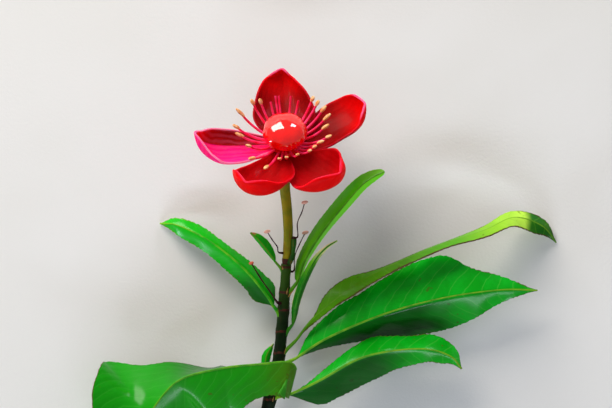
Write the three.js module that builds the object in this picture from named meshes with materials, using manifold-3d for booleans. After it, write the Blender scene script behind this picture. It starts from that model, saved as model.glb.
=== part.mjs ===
// The flowering tip of a carnival ochna bush, as cut from the plant and laid down on a flat surface.
// Millimetres, +Z up. The surface is z = 0, the shoot runs along +Y, and the flower looks up and along +Y.
// It rests on its cut end, the tip of the left leaf and the tip of the long right leaf. Places are given about
// the stem, and the whole is then moved so that the origin lies under the middle of its box.
import * as THREE from "three";
import { mergeVertices } from "three/addons/utils/BufferGeometryUtils.js";
import Module from "manifold-3d";

const wasm = await Module();
wasm.setup();

// Sizes that several parts share
const SEAT_GAP = 0.3;
const FOOT_GAP = 0.95;
const LEAF_THICKNESS = 0.5;
const SEPAL_THICKNESS = 0.5;
const PETIOLE_HALF_WIDTH = 0.5;
const PETIOLE_THICKNESS = 0.85;
const TIP_HALF_WIDTH = 0.12;
const BOX_CENTRE = new THREE.Vector3(0.0115, -2.152, 0);

// The stem: points of its axis from the cut end upwards, each with the radius there
const STEM_AXIS = [
  [-12.3, -34.1, 1.14],
  [-10.4, -26.6, 2.4],
  [-8.9, -20.8, 3.25],
  [-8.1, -15.0, 4.1],
  [-7.6, -9.0, 4.9],
  [-7.3, -4.4, 5.5],
  [-7.1, -0.9, 6.0],
];
const STEM_RADII = [1.15, 1.12, 1.08, 1.0, 1.0, 0.86, 0.82];
const STEM_SIDES = 12;
const STEM_STEPS = 22;

// The flower stalk, which swells towards the flower and turns up into it
const FLOWER_TILT = THREE.MathUtils.degToRad(40);
const FLOWER_BASE = new THREE.Vector3(-7.3, 19.5, 12.6);
const FLOWER_AXIS = new THREE.Vector3(0, Math.sin(FLOWER_TILT), Math.cos(FLOWER_TILT));
const STALK_AXIS = [
  [-7.05, -0.5, 6.07],
  [-6.75, 3.9, 6.6],
  [-6.75, 8.4, 7.0],
  [-7.1, 12.3, 7.5],
  [-7.25, 15.2, 8.55],
];
const STALK_RADII = [0.74, 0.84, 0.88, 0.94, 0.96, 1.0, 1.1];
const STALK_SIDES = 12;
const STALK_STEPS = 16;

// The swollen receptacle: a short foot that the sepals stand round, under a glossy dome
const RECEPTACLE_FOOT_RADIUS = 1.5;
const RECEPTACLE_FOOT_BOTTOM = -0.8;
const RECEPTACLE_NECK = 2.9;
const DOME_RADIUS = 4.0;
const DOME_MIDDLE = 4.7;
const DOME_TOP = 7.4;

// Five cupped sepals round the receptacle: azimuth in degrees, reach, rise of the tip, the height at which the
// foot stands, and how late the keel turns up. Left and right are its halves, each with its full width, its
// share of the full cup and its outline.
const SEPALS = [
  {
    name: "sepal_right",
    azimuth: 24.3, reach: 15.5, rise: 5.4, lift: 0.05, bowl: 1.5,
    left: { width: 5.3, cup: 0.4, widest: 0.58, base: 0.8, tip: 0.3 },
    right: { width: 5.2, cup: 1.0, widest: 0.64, base: 0.6, tip: 0.28 },
  },
  {
    name: "sepal_top",
    azimuth: 91, reach: 14.9, rise: 5.0, lift: 0.85, bowl: 1.2,
    left: { width: 5.7, cup: 0.75, widest: 0.33, base: 0.52, tip: 0.52 },
    right: { width: 5.7, cup: 1.0, widest: 0.33, base: 0.35, tip: 1.1 },
  },
  {
    name: "sepal_left",
    azimuth: 188.7, reach: 16.0, rise: 7.4, lift: 0.75, bowl: 1.6,
    left: { width: 5.8, cup: 0.85, widest: 0.65, base: 1.3, tip: 0.62 },
    right: { width: 4.4, cup: 0.85, widest: 0.56, base: 0.4, tip: 0.8 },
  },
  {
    name: "sepal_lower_left",
    azimuth: 244, reach: 15.2, rise: 7.3, lift: 0.9, bowl: 1.8,
    left: { width: 6.8, cup: 1.05, widest: 0.6, base: 0.58, tip: 0.38 },
    right: { width: 5.2, cup: 0.95, widest: 0.72, base: 0.9, tip: 0.32 },
  },
  {
    name: "sepal_lower_right",
    azimuth: 309.8, reach: 14.9, rise: 7.1, lift: 0.05, bowl: 1.8,
    left: { width: 6.2, cup: 1.3, widest: 0.46, base: 0.8, tip: 0.28 },
    right: { width: 7.1, cup: 0.75, widest: 0.68, base: 0.82, tip: 0.34 },
  },
];
const SEPAL_FOOT_RADIUS = RECEPTACLE_FOOT_RADIUS + SEAT_GAP + 0.1;
const CUP_TILT = [0, 14, 16];
const CUP_CURL = [10, 36, 40];

// The ring of stamens: threads that rise from a collar under the dome to small anthers
const STAMENS = 24;
const COLLAR_INNER = RECEPTACLE_FOOT_RADIUS + SEAT_GAP;
const COLLAR_OUTER = 2.9;
const COLLAR_LOW = 1.75;
const COLLAR_HIGH = 2.3;
const THREAD_RADIUS = 0.19;
const ANTHER_LENGTH = 1.3;
const ANTHER_RADIUS = 0.34;

// The leaves. A leaf's foot is on the stem at the height `along`, on the side that `outward` names, and its
// midrib then runs through the spine. Left and right are the halves of the blade, seen from above by one who
// travels from foot to tip. A half has its width, its tilt upwards in degrees at evenly spaced places from foot
// to tip, and the further turn of its margin at such places. Widest, base and tip shape the outline, unless a
// half that isn't a plain oval has its own shares of its width from the petiole to the tip.
const LEAVES = [
  {
    name: "leaf_right_broad",
    foot: { along: -19.0, outward: [0.8, 0.15, 0.5] },
    spine: [
      [-5.7, -18.0, 5.0],
      [0.2, -14.1, 6.5],
      [10.5, -9.7, 7.8],
      [20.8, -6.9, 8.0],
      [31.0, -5.5, 6.8],
      [37.8, -5.6, 5.0],
    ],
    petiole: 0.04,
    left: {
      width: 7.7,
      shares: [0, 0.29, 0.47, 0.6, 0.66, 0.78, 0.9, 0.97, 0.95, 0.58, 0.37, 0.16, 0],
      tilt: [-26, -12, -12],
      curl: [-6, -6, -6],
    },
    right: {
      width: 7.6,
      shares: [0, 0.21, 0.41, 0.59, 0.75, 0.87, 0.95, 0.95, 0.88, 0.7, 0.41, 0.19, 0],
      tilt: [-50, -36, -24],
      curl: [-10, -10, -10],
    },
    steps: 16,
    across: 3,
  },
  {
    name: "leaf_right_lower",
    foot: { along: -25.0, outward: [0.8, 0.15, 0.5] },
    spine: [
      [-6.4, -24.2, 4.8],
      [-1.2, -21.7, 6.6],
      [5.5, -17.9, 8.1],
      [11.2, -16.4, 8.9],
      [17.7, -16.0, 8.7],
      [22.1, -17.3, 7.6],
      [24.2, -19.6, 6.4],
    ],
    petiole: 0.05,
    left: {
      width: 4.4,
      shares: [0, 0.07, 0.3, 0.47, 0.69, 0.93, 0.82, 0.71, 0.82, 0.6, 0],
      tilt: [-30, -42, -40],
      curl: [-10, -10, -10],
    },
    right: {
      width: 6.2,
      shares: [0, 0.79, 0.91, 1.01, 1.03, 0.93, 0.71, 0.57, 0.41, 0.3, 0],
      tilt: [-30, -38, -20],
      curl: [-12, -12, -12],
    },
    steps: 14,
    across: 3,
  },
  {
    name: "leaf_right_long",
    foot: { along: -16.6, outward: [0.9, 0.2, 0.3] },
    spine: [
      [-5.2, -14.4, 5.0],
      [-1.6, -10.0, 7.0],
      [6.2, -4.1, 8.0],
      [14.1, -0.1, 8.8],
      [20.8, 2.6, 8.4],
      [28.3, 5.0, 6.9],
      [33.7, 7.3, 4.5],
      [38.7, 5.9, 2.3],
      [41.4, 2.9, 0.26],
    ],
    petiole: 0.04,
    left: {
      width: 2.8,
      shares: [0, 0, 0.69, 0.82, 0.4, 0.28, 0.32, 0.36, 0.6, 0.7, 0.71, 0.6, 0],
      tilt: [-35, -20, -66, -76, -60, -40],
      curl: [0, 0, 0],
    },
    right: {
      width: 2.8,
      shares: [0, 0.24, 0.32, 0.54, 0.6, 0.65, 0.71, 0.6, 0.7, 0.65, 0.73, 0.61, 0],
      tilt: [24, 20, 48, 66, 64, 40, -5],
      curl: [-4, -4, -6],
    },
    steps: 18,
    across: 2,
  },
  {
    name: "leaf_upper_long",
    foot: { along: -5.8, outward: [0.9, 0.1, 0.25] },
    spine: [
      [-4.9, -3.4, 6.1],
      [-3.7, 0.0, 6.7],
      [-0.8, 4.6, 7.6],
      [2.9, 9.2, 8.5],
      [6.1, 12.9, 9.1],
      [8.2, 14.5, 9.2],
      [10.4, 15.6, 9.0],
    ],
    petiole: 0.06,
    left: { width: 2.4, tilt: [-40, -38, -30], curl: [-16, -16, -16] },
    right: { width: 2.2, tilt: [-72, -74, -60], curl: [6, 6, 6] },
    widest: 0.55,
    base: 0.35,
    tip: 0.4,
    steps: 13,
    across: 2,
  },
  {
    name: "leaf_upper_thin",
    foot: { along: -12.9, outward: [0.85, 0.1, 0.4] },
    spine: [
      [-5.7, -10.6, 5.9],
      [-5.2, -7.6, 7.0],
      [-3.9, -3.9, 8.2],
      [-1.9, -0.1, 9.1],
      [0.1, 2.1, 9.4],
      [2.0, 3.3, 9.3],
    ],
    petiole: 0.05,
    left: { width: 1.1, tilt: [-40, -45, -40], curl: [-8, -8, -8] },
    right: { width: 1.1, tilt: [-50, -58, -50], curl: [-6, -6, -6] },
    widest: 0.35,
    base: 0.6,
    tip: 0.9,
    steps: 11,
    across: 2,
  },
  {
    name: "leaf_left",
    foot: { along: -9.3, outward: [-0.9, 0.05, 0.3] },
    spine: [
      [-9.9, -7.6, 5.6],
      [-13.3, -3.2, 5.8],
      [-17.2, 0.5, 5.4],
      [-21.7, 3.7, 4.3],
      [-26.6, 6.0, 2.5],
      [-29.8, 6.3, 0.24],
    ],
    petiole: 0.02,
    left: {
      width: 2.8,
      shares: [0, 0.97, 0.96, 0.98, 0.98, 0.9, 0.82, 0.76, 0.68, 0.45, 0],
      tilt: [-34, -28, -14],
      curl: [-10, -10, -10],
    },
    right: {
      width: 2.3,
      shares: [0, 1.28, 1.2, 1.04, 0.87, 0.74, 0.74, 0.8, 0.72, 0.5, 0],
      tilt: [-40, -40, -20],
      curl: [-14, -14, -14],
    },
    steps: 13,
    across: 2,
  },
  {
    name: "leaf_front_left",
    foot: { along: -20.2, outward: [0.85, 0, 0.5] },
    facing: [0.6, 0, 0.8],
    spine: [
      [-6.6, -19.8, 5.8],
      [-5.4, -19.6, 8.2],
      [-6.7, -18.3, 10.3],
      [-11.5, -18.6, 11.7],
      [-18.5, -19.3, 12.4],
      [-26.4, -21.6, 12.2],
      [-31.8, -27.8, 10.6],
      [-35.4, -31.6, 7.8],
      [-37.2, -38.4, 3.6],
    ],
    petiole: 0.07,
    left: {
      width: 10.6,
      shares: [0.5, 0.61, 0.54, 0.69, 1.08, 1.25, 1.3, 1.24, 1.1, 0.89, 0.63, 0.33, 0],
      tilt: [14, -6, 4, 2],
      curl: [-10, -20, -16],
    },
    right: {
      width: 13.2,
      shares: [0, 0.07, 0.26, 0.53, 0.73, 0.79, 0.62, 0.73, 1.03, 0.91, 0.35, 0.15, 0],
      tilt: [-84, -90, -98, -98, -80, -18, -5],
      curl: [0, 0, 6, 8, 0],
    },
    steps: 21,
    across: 3,
  },
  {
    name: "leaf_small_left",
    foot: { along: -1.7, outward: [-0.9, 0.1, 0.2] },
    spine: [
      [-9.2, -0.3, 6.4],
      [-10.7, 1.8, 6.7],
      [-12.2, 3.6, 6.8],
      [-13.5, 4.7, 6.7],
    ],
    petiole: 0.14,
    left: { width: 0.7, tilt: [-50, -60, -50], curl: [0, 0, 0] },
    right: { width: 1.3, tilt: [-20, -28, -20], curl: [-10, -10, -10] },
    widest: 0.5,
    base: 0.7,
    tip: 0.8,
    steps: 8,
    across: 2,
  },
  {
    name: "leaf_bud",
    foot: { along: -20.9, outward: [-0.9, 0.1, -0.1] },
    spine: [
      [-11.1, -19.2, 3.3],
      [-11.0, -17.3, 3.4],
      [-9.75, -15.2, 3.6],
    ],
    petiole: 0.14,
    left: { width: 0.9, tilt: [-20, -20, -20], curl: [-10, -10, -10] },
    right: { width: 0.8, tilt: [-20, -20, -20], curl: [-10, -10, -10] },
    widest: 0.4,
    base: 0.7,
    tip: 1.0,
    steps: 7,
    across: 2,
  },
];

// Spent stamens that hang on below the flower: a dark thread with a pale knob across its end
const SPENT_THREADS = [
  {
    name: "spent_thread_left",
    carrier: "stem",
    foot: { along: -8.1, outward: [-0.6, 0.2, 0.75] },
    path: [[-9.9, -5.9, 7.7], [-11.6, -3.5, 8.3], [-13.3, -0.7, 8.5]],
    radius: 0.2,
  },
  {
    name: "spent_thread_right",
    carrier: "stalk",
    foot: { along: 3.8, outward: [0.95, 0.1, 0.3] },
    path: [[-5.1, 6.4, 7.4], [-4.3, 8.4, 7.7], [-3.8, 10.1, 7.9]],
    radius: 0.15,
  },
  {
    name: "spent_thread_low_right",
    carrier: "stem",
    foot: { along: -2.4, outward: [0.8, 0.2, -0.5] },
    path: [[-5.6, 0.4, 4.9], [-4.7, 2.7, 4.6], [-3.7, 4.7, 4.4]],
    radius: 0.15,
  },
  {
    name: "spent_thread_low_left",
    carrier: "stalk",
    foot: { along: 0.9, outward: [-0.9, 0.2, 0.35] },
    path: [[-8.7, 2.2, 7.1], [-9.7, 3.6, 7.4], [-10.5, 4.9, 7.5]],
    radius: 0.15,
  },
];
const KNOB_HALF_LENGTH = 0.62;
const KNOB_RADIUS = 0.32;

// Materials, as the plant's own finishes
const leafGreen = new THREE.MeshStandardMaterial({ color: 0x3a8a1c, roughness: 0.42, metalness: 0 });
const youngLeafGreen = new THREE.MeshStandardMaterial({ color: 0x6fa022, roughness: 0.45, metalness: 0 });
const stemGreen = new THREE.MeshStandardMaterial({ color: 0x2c4a18, roughness: 0.6, metalness: 0 });
const stalkOlive = new THREE.MeshStandardMaterial({ color: 0x7d7420, roughness: 0.55, metalness: 0 });
const sepalRed = new THREE.MeshStandardMaterial({ color: 0xd40a12, roughness: 0.35, metalness: 0 });
const domeRed = new THREE.MeshStandardMaterial({ color: 0xe31410, roughness: 0.2, metalness: 0 });
const stamenPink = new THREE.MeshStandardMaterial({ color: 0xd8452f, roughness: 0.5, metalness: 0 });
const threadMaroon = new THREE.MeshStandardMaterial({ color: 0x4a1216, roughness: 0.6, metalness: 0 });
const YOUNG_LEAVES = new Set(["leaf_upper_long", "leaf_upper_thin", "leaf_small_left", "leaf_bud"]);

const UP = new THREE.Vector3(0, 0, 1);
const vector = ([x, y, z]) => new THREE.Vector3(x, y, z);

// A smooth curve through the points
function curveThrough(points) {
  return new THREE.CatmullRomCurve3(points, false, "catmullrom", 0.5);
}

// The value at the share u of a length, on a smooth line through evenly spaced values from foot to tip
function through(values, u) {
  const last = values.length - 1;
  const place = u * last;
  const i = Math.min(Math.floor(place), last - 1);
  const t = place - i;
  const at = (k) => values[THREE.MathUtils.clamp(k, 0, last)];
  const [a, b, c, d] = [at(i - 1), at(i), at(i + 1), at(i + 2)];
  return b + 0.5 * t * (c - a + t * (2 * a - 5 * b + 4 * c - d + t * (3 * b - a - 3 * c + d)));
}

// A closed skin over rings of points that follow one another, with a flat fan at each end
function loft(rings) {
  const count = rings[0].length;
  const positions = rings.flat().flatMap((p) => [p.x, p.y, p.z]);
  const index = [];
  for (let i = 0; i + 1 < rings.length; i += 1) {
    for (let j = 0; j < count; j += 1) {
      const a = i * count + j;
      const b = i * count + ((j + 1) % count);
      index.push(a, b, b + count, a, b + count, a + count);
    }
  }
  const last = (rings.length - 1) * count;
  for (let j = 1; j + 1 < count; j += 1) {
    index.push(0, j + 1, j);
    index.push(last, last + j, last + j + 1);
  }
  const geometry = new THREE.BufferGeometry();
  geometry.setAttribute("position", new THREE.Float32BufferAttribute(positions, 3));
  geometry.setIndex(facingOut(positions, index));
  geometry.computeVertexNormals();
  return geometry;
}

// The triangles as given, or all turned round where they face into the solid
function facingOut(positions, index) {
  const corner = (i) => new THREE.Vector3().fromArray(positions, 3 * i);
  let sixVolumes = 0;
  for (let i = 0; i < index.length; i += 3) {
    const [a, b, c] = [corner(index[i]), corner(index[i + 1]), corner(index[i + 2])];
    sixVolumes += a.dot(b.cross(c));
  }
  return sixVolumes >= 0 ? index : index.slice().reverse();
}

// A bent round limb that tapers, with a flat cut at both ends
function limb(points, radii, sides, steps) {
  const curve = curveThrough(points);
  const rings = [];
  for (let i = 0; i <= steps; i += 1) {
    const u = i / steps;
    rings.push(roundRing(curve.getPointAt(u), curve.getTangentAt(u), radiusAt(curve, radii, u), sides));
  }
  return loft(rings);
}

// The radius at the share u of a limb's length, from one radius for each point of its curve
function radiusAt(curve, radii, u) {
  const place = curve.getUtoTmapping(u) * (radii.length - 1);
  const i = Math.min(Math.floor(place), radii.length - 2);
  return THREE.MathUtils.lerp(radii[i], radii[i + 1], place - i);
}

// A circle of points across a direction
function roundRing(centre, tangent, radius, sides) {
  const side = new THREE.Vector3().crossVectors(UP, tangent).normalize();
  const lift = new THREE.Vector3().crossVectors(tangent, side);
  return Array.from({ length: sides }, (_, j) => {
    const angle = (2 * Math.PI * j) / sides;
    return centre
      .clone()
      .addScaledVector(side, radius * Math.cos(angle))
      .addScaledVector(lift, radius * Math.sin(angle));
  });
}

// A blade with its stalk: two arched halves along a midrib, as one solid
function blade({ spine, facing = [0, 0, 1], petiole, left, right, steps, across, thickness, ...shape }) {
  const curve = curveThrough(spine);
  const rings = [];
  for (let i = 0; i <= steps; i += 1) {
    const u = stationOf(i / steps);
    const stalk = PETIOLE_HALF_WIDTH * Math.sqrt(1 - u) + TIP_HALF_WIDTH * u;
    const widthOf = (half) => Math.hypot(stalk, half.width * outline(u, petiole, { ...shape, ...half }));
    const stalkShare = Math.max(0, 1 - u / Math.max(2 * petiole, 0.06));
    const depth = THREE.MathUtils.lerp(thickness, PETIOLE_THICKNESS, stalkShare);
    const tangent = curve.getTangentAt(u);
    const side = new THREE.Vector3().crossVectors(vector(facing), tangent).normalize();
    const face = new THREE.Vector3().crossVectors(tangent, side);
    const frame = { centre: curve.getPointAt(u), side, face };
    const sectionOf = (half, sign) =>
      halfSection(frame, sign, widthOf(half), through(half.tilt, u), through(half.curl, u), across);
    rings.push(bladeRing(sectionOf(left, 1), sectionOf(right, -1), depth));
  }
  return loft(rings);
}

// Stations lie closer together near the foot and the tip, where the outline turns
function stationOf(share) {
  return share - 0.06 * Math.sin(2 * Math.PI * share);
}

// The share of the full half width at the share u of the blade's length, read from a half's own shares where
// it has them
function outline(u, petiole, { widest, base, tip, shares }) {
  const s = Math.max(0, (u - petiole) / (1 - petiole));
  if (shares) return s > 0 ? Math.max(0, through(shares, s)) : 0;
  if (s < widest) return Math.sin((Math.PI / 2) * (s / widest)) ** base;
  return Math.max(0, Math.cos((Math.PI / 2) * ((s - widest) / (1 - widest)))) ** tip;
}

// Points of one half's middle surface from the midrib to the margin, along an arc, with the normal at each
function halfSection({ centre, side, face }, sign, width, tiltDegrees, curlDegrees, across) {
  const tilt = THREE.MathUtils.degToRad(tiltDegrees);
  const curl = THREE.MathUtils.degToRad(curlDegrees);
  return Array.from({ length: across + 1 }, (_, j) => {
    const v = j / across;
    const chord = tilt + (curl * v) / 2;
    const bend = curl * v * 0.5;
    const reach = width * v * (Math.abs(bend) < 1e-6 ? 1 : Math.sin(bend) / bend);
    const angle = tilt + curl * v;
    return {
      point: centre
        .clone()
        .addScaledVector(side, sign * reach * Math.cos(chord))
        .addScaledVector(face, reach * Math.sin(chord)),
      normal: new THREE.Vector3()
        .addScaledVector(side, -sign * Math.sin(angle))
        .addScaledVector(face, Math.cos(angle)),
    };
  });
}

// The closed outline of a blade's section: over the upper face from margin to margin and back below
function bladeRing(leftHalf, rightHalf, depth) {
  const midrib = {
    point: leftHalf[0].point,
    normal: leftHalf[0].normal.clone().add(rightHalf[0].normal).normalize(),
  };
  const section = [...leftHalf.slice(1).reverse(), midrib, ...rightHalf.slice(1)];
  const above = section.map(({ point, normal }) => point.clone().addScaledVector(normal, depth / 2));
  const below = section.map(({ point, normal }) => point.clone().addScaledVector(normal, -depth / 2));
  return [...above, ...below.reverse()];
}

// The place on a limb where it has the height y, with its radius there
function placeOn(points, radii, y) {
  const curve = curveThrough(points);
  let [low, high] = [0, 1];
  for (let i = 0; i < 40; i += 1) {
    const middle = (low + high) / 2;
    if (curve.getPointAt(middle).y < y) low = middle;
    else high = middle;
  }
  return { centre: curve.getPointAt(low), radius: radiusAt(curve, radii, low) };
}

// The point just clear of a limb's bark at the height y, on its outward side
function footOn(points, radii, { along, outward }) {
  const { centre, radius } = placeOn(points, radii, along);
  return centre.addScaledVector(vector(outward).normalize(), radius + FOOT_GAP);
}

// Booleans on closed geometries
function toSolid(geometry) {
  const bare = geometry.clone();
  bare.deleteAttribute("normal");
  bare.deleteAttribute("uv");
  const merged = mergeVertices(bare, 1e-4);
  return new wasm.Manifold(
    new wasm.Mesh({
      numProp: 3,
      vertProperties: merged.attributes.position.array,
      triVerts: new Uint32Array(merged.index.array),
    }),
  );
}

function toGeometry(solid) {
  const mesh = solid.getMesh();
  const geometry = new THREE.BufferGeometry();
  geometry.setAttribute("position", new THREE.BufferAttribute(mesh.vertProperties, 3));
  geometry.setIndex(new THREE.BufferAttribute(mesh.triVerts, 1));
  geometry.computeVertexNormals();
  return geometry;
}

function fuse(geometries) {
  return toGeometry(geometries.map(toSolid).reduce((whole, next) => whole.add(next)));
}

// A small elongated knob, its long axis along a direction
function knob(centre, along, halfLength, radius) {
  const geometry = new THREE.SphereGeometry(1, 8, 6);
  geometry.scale(radius, halfLength, radius);
  const turn = new THREE.Quaternion().setFromUnitVectors(new THREE.Vector3(0, 1, 0), along.clone().normalize());
  geometry.applyQuaternion(turn);
  geometry.translate(centre.x, centre.y, centre.z);
  return geometry;
}

// Stem and stalk
const stemPoints = STEM_AXIS.map(vector);
const stalkPoints = [
  ...STALK_AXIS.map(vector),
  FLOWER_BASE.clone().addScaledVector(FLOWER_AXIS, -3.1),
  FLOWER_BASE.clone().addScaledVector(FLOWER_AXIS, RECEPTACLE_FOOT_BOTTOM - SEAT_GAP),
];

function makeStem() {
  const mesh = new THREE.Mesh(limb(stemPoints, STEM_RADII, STEM_SIDES, STEM_STEPS), stemGreen);
  mesh.name = "stem";
  return mesh;
}

function makeStalk() {
  const mesh = new THREE.Mesh(limb(stalkPoints, STALK_RADII, STALK_SIDES, STALK_STEPS), stalkOlive);
  mesh.name = "flower_stalk";
  return mesh;
}

// The flower stands in a frame of its own: its axis is +Z there and its foot is the origin
function makeReceptacle() {
  const profile = new THREE.Path();
  profile.moveTo(0, RECEPTACLE_FOOT_BOTTOM);
  profile.lineTo(RECEPTACLE_FOOT_RADIUS, RECEPTACLE_FOOT_BOTTOM);
  profile.lineTo(RECEPTACLE_FOOT_RADIUS, RECEPTACLE_NECK - 0.3);
  profile.bezierCurveTo(
    DOME_RADIUS, RECEPTACLE_NECK, DOME_RADIUS, DOME_MIDDLE - 0.8, DOME_RADIUS, DOME_MIDDLE);
  profile.bezierCurveTo(
    DOME_RADIUS, DOME_MIDDLE + 1.9, 2.2, DOME_TOP, 0, DOME_TOP);
  const geometry = new THREE.LatheGeometry(profile.getPoints(6), 20);
  geometry.rotateX(Math.PI / 2);
  const mesh = new THREE.Mesh(geometry, domeRed);
  mesh.name = "receptacle";
  return mesh;
}

function makeSepal({ name, azimuth, reach, rise, lift, bowl, left, right }) {
  const keelAt = (share) => {
    const angle = (share * Math.PI) / 2;
    const radius = THREE.MathUtils.lerp(SEPAL_FOOT_RADIUS, reach, Math.sin(angle));
    return new THREE.Vector3(radius, 0, lift * (1 - share) + rise * (1 - Math.cos(angle)) ** bowl);
  };
  const cupped = ({ cup, ...half }) => ({
    ...half,
    tilt: CUP_TILT.map((angle) => angle * cup),
    curl: CUP_CURL.map((angle) => angle * cup),
  });
  const geometry = blade({
    spine: [0, 0.2, 0.4, 0.6, 0.8, 1].map(keelAt),
    facing: [-0.7, 0, 0.7],
    petiole: 0,
    left: cupped(left),
    right: cupped(right),
    steps: 13,
    across: 3,
    thickness: SEPAL_THICKNESS,
  });
  const mesh = new THREE.Mesh(geometry, sepalRed);
  mesh.name = name;
  mesh.rotation.z = THREE.MathUtils.degToRad(azimuth);
  return mesh;
}

// Threads lean out at a few different slopes, so that the ring looks loose
function makeStamens() {
  const profile = [
    new THREE.Vector2(COLLAR_INNER, COLLAR_LOW),
    new THREE.Vector2(COLLAR_OUTER, COLLAR_LOW),
    new THREE.Vector2(COLLAR_OUTER, COLLAR_HIGH),
    new THREE.Vector2(COLLAR_INNER, COLLAR_HIGH),
    new THREE.Vector2(COLLAR_INNER, COLLAR_LOW),
  ];
  const collar = new THREE.LatheGeometry(profile, STAMENS);
  collar.rotateX(Math.PI / 2);
  const pieces = [collar];
  for (let i = 0; i < STAMENS; i += 1) {
    const azimuth = (2 * Math.PI * (i + 0.5)) / STAMENS;
    const tipRadius = 7.2 + 0.8 * Math.sin(2.4 * i);
    const tipHeight = 5.2 + 0.7 * Math.sin(1.7 * i + 1);
    const at = (radius, height) =>
      new THREE.Vector3(radius * Math.cos(azimuth), radius * Math.sin(azimuth), height);
    const end = at(tipRadius, tipHeight);
    const path = [at(COLLAR_OUTER - 0.5, 2.03), at(4.6, 2.5), at(0.85 * tipRadius, 0.74 * tipHeight), end];
    const along = end.clone().sub(path[2]);
    pieces.push(limb(path, path.map(() => THREAD_RADIUS), 5, 4));
    pieces.push(knob(end, along, ANTHER_LENGTH / 2, ANTHER_RADIUS));
  }
  const mesh = new THREE.Mesh(fuse(pieces), stamenPink);
  mesh.name = "stamens";
  return mesh;
}

function makeFlower() {
  const flower = new THREE.Group();
  flower.position.copy(FLOWER_BASE);
  flower.rotation.x = -FLOWER_TILT;
  flower.add(makeReceptacle(), makeStamens(), ...SEPALS.map(makeSepal));
  return flower;
}

function makeLeaf(leaf) {
  const foot = footOn(stemPoints, STEM_RADII, leaf.foot);
  const geometry = blade({ ...leaf, spine: [foot, ...leaf.spine.map(vector)], thickness: LEAF_THICKNESS });
  const mesh = new THREE.Mesh(geometry, YOUNG_LEAVES.has(leaf.name) ? youngLeafGreen : leafGreen);
  mesh.name = leaf.name;
  return mesh;
}

function makeSpentThread({ name, carrier, foot, path, radius }) {
  const [points, radii] = carrier === "stem" ? [stemPoints, STEM_RADII] : [stalkPoints, STALK_RADII];
  const places = [footOn(points, radii, foot), ...path.map(vector)];
  const end = places[places.length - 1];
  const across = new THREE.Vector3(1, 0.25, 0);
  const mesh = new THREE.Mesh(
    fuse([limb(places, places.map(() => radius), 6, 8), knob(end, across, KNOB_HALF_LENGTH, KNOB_RADIUS)]),
    threadMaroon,
  );
  mesh.name = name;
  return mesh;
}

const sprig = new THREE.Group();
sprig.add(makeStem(), makeStalk(), makeFlower());
sprig.add(...LEAVES.map(makeLeaf), ...SPENT_THREADS.map(makeSpentThread));
sprig.position.copy(BOX_CENTRE).negate();

export default sprig;
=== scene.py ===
"""A cut flowering shoot of carnival ochna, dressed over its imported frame.

The shoot lies on a plain pale floor, under a camera that looks straight down on it. The pieces are
modelled in millimetres about the stem, or about the flower's own foot, and then settled in metres in the
frame's axes. A piece that stands for a solid has the solid's name.
"""

import logging
import math
import sys
from collections.abc import Callable, Iterable, Iterator, Mapping, Sequence
from contextlib import contextmanager
from dataclasses import dataclass, replace
from enum import Enum
from itertools import pairwise

import bpy
from mathutils import Matrix, Quaternion, Vector

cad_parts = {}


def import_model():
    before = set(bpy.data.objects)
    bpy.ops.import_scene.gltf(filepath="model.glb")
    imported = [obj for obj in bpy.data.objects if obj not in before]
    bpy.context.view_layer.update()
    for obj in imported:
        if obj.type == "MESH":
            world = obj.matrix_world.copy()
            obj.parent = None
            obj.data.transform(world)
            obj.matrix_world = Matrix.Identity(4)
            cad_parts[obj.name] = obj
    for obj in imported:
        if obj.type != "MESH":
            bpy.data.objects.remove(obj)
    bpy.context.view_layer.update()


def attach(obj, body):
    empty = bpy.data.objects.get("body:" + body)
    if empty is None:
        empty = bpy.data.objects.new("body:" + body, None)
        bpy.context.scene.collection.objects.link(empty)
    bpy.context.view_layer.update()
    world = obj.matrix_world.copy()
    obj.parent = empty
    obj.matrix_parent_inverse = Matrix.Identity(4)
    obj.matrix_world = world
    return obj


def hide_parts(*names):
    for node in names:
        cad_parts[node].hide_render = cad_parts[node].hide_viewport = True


Tree = bpy.types.NodeTree
Socket = bpy.types.NodeSocket
Piece = bpy.types.Object
Point = tuple[float, float, float]
Value = float | Vector

LOG = logging.getLogger("ochna")
MM = 0.001
SHIFT = Vector((-0.0115, 2.152, 0.0))
UP = Vector((0.0, 0.0, 1.0))

# Axes and sizes that several parts share, as in the part's source
STEM_AXIS: tuple[Point, ...] = (
    (-12.3, -34.1, 1.14), (-10.4, -26.6, 2.4), (-8.9, -20.8, 3.25), (-8.1, -15.0, 4.1),
    (-7.6, -9.0, 4.9), (-7.3, -4.4, 5.5), (-7.1, -0.9, 6.0),
)
STEM_RADII = (1.15, 1.12, 1.08, 1.0, 1.0, 0.86, 0.82)
FLOWER_TILT = math.radians(40)
FLOWER_BASE = Vector((-7.3, 19.5, 12.6))
FLOWER_AXIS = Vector((0.0, math.sin(FLOWER_TILT), math.cos(FLOWER_TILT)))
STALK_AXIS: tuple[Point, ...] = (
    (-7.05, -0.5, 6.07), (-6.75, 3.9, 6.6), (-6.9, 8.4, 7.0), (-7.3, 12.3, 7.5), (-7.4, 15.2, 8.55),
    tuple(FLOWER_BASE - 3.1 * FLOWER_AXIS),
    tuple(FLOWER_BASE - 1.1 * FLOWER_AXIS),
)
STALK_RADII = (0.74, 0.84, 0.88, 0.94, 0.96, 1.0, 1.1)
# How far over the bark a leaf's line or a spent thread's line has its first point
FOOT_GAP = 0.95
ABOUT_STEM = Matrix.Identity(4)
ABOUT_FLOWER = Matrix.Translation(FLOWER_BASE) @ Matrix.Rotation(-FLOWER_TILT, 4, "X")


class Slot(Enum):
    """The material slots of the pieces."""

    STEM = "stem"
    FLOWER_STALK = "flower_stalk"
    RECEPTACLE = "receptacle"
    STAMENS = "stamens"
    SEPAL = "sepal"
    LEAF = "leaf"
    YOUNG_LEAF = "young_leaf"
    SPENT_THREAD = "spent_thread"


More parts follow.
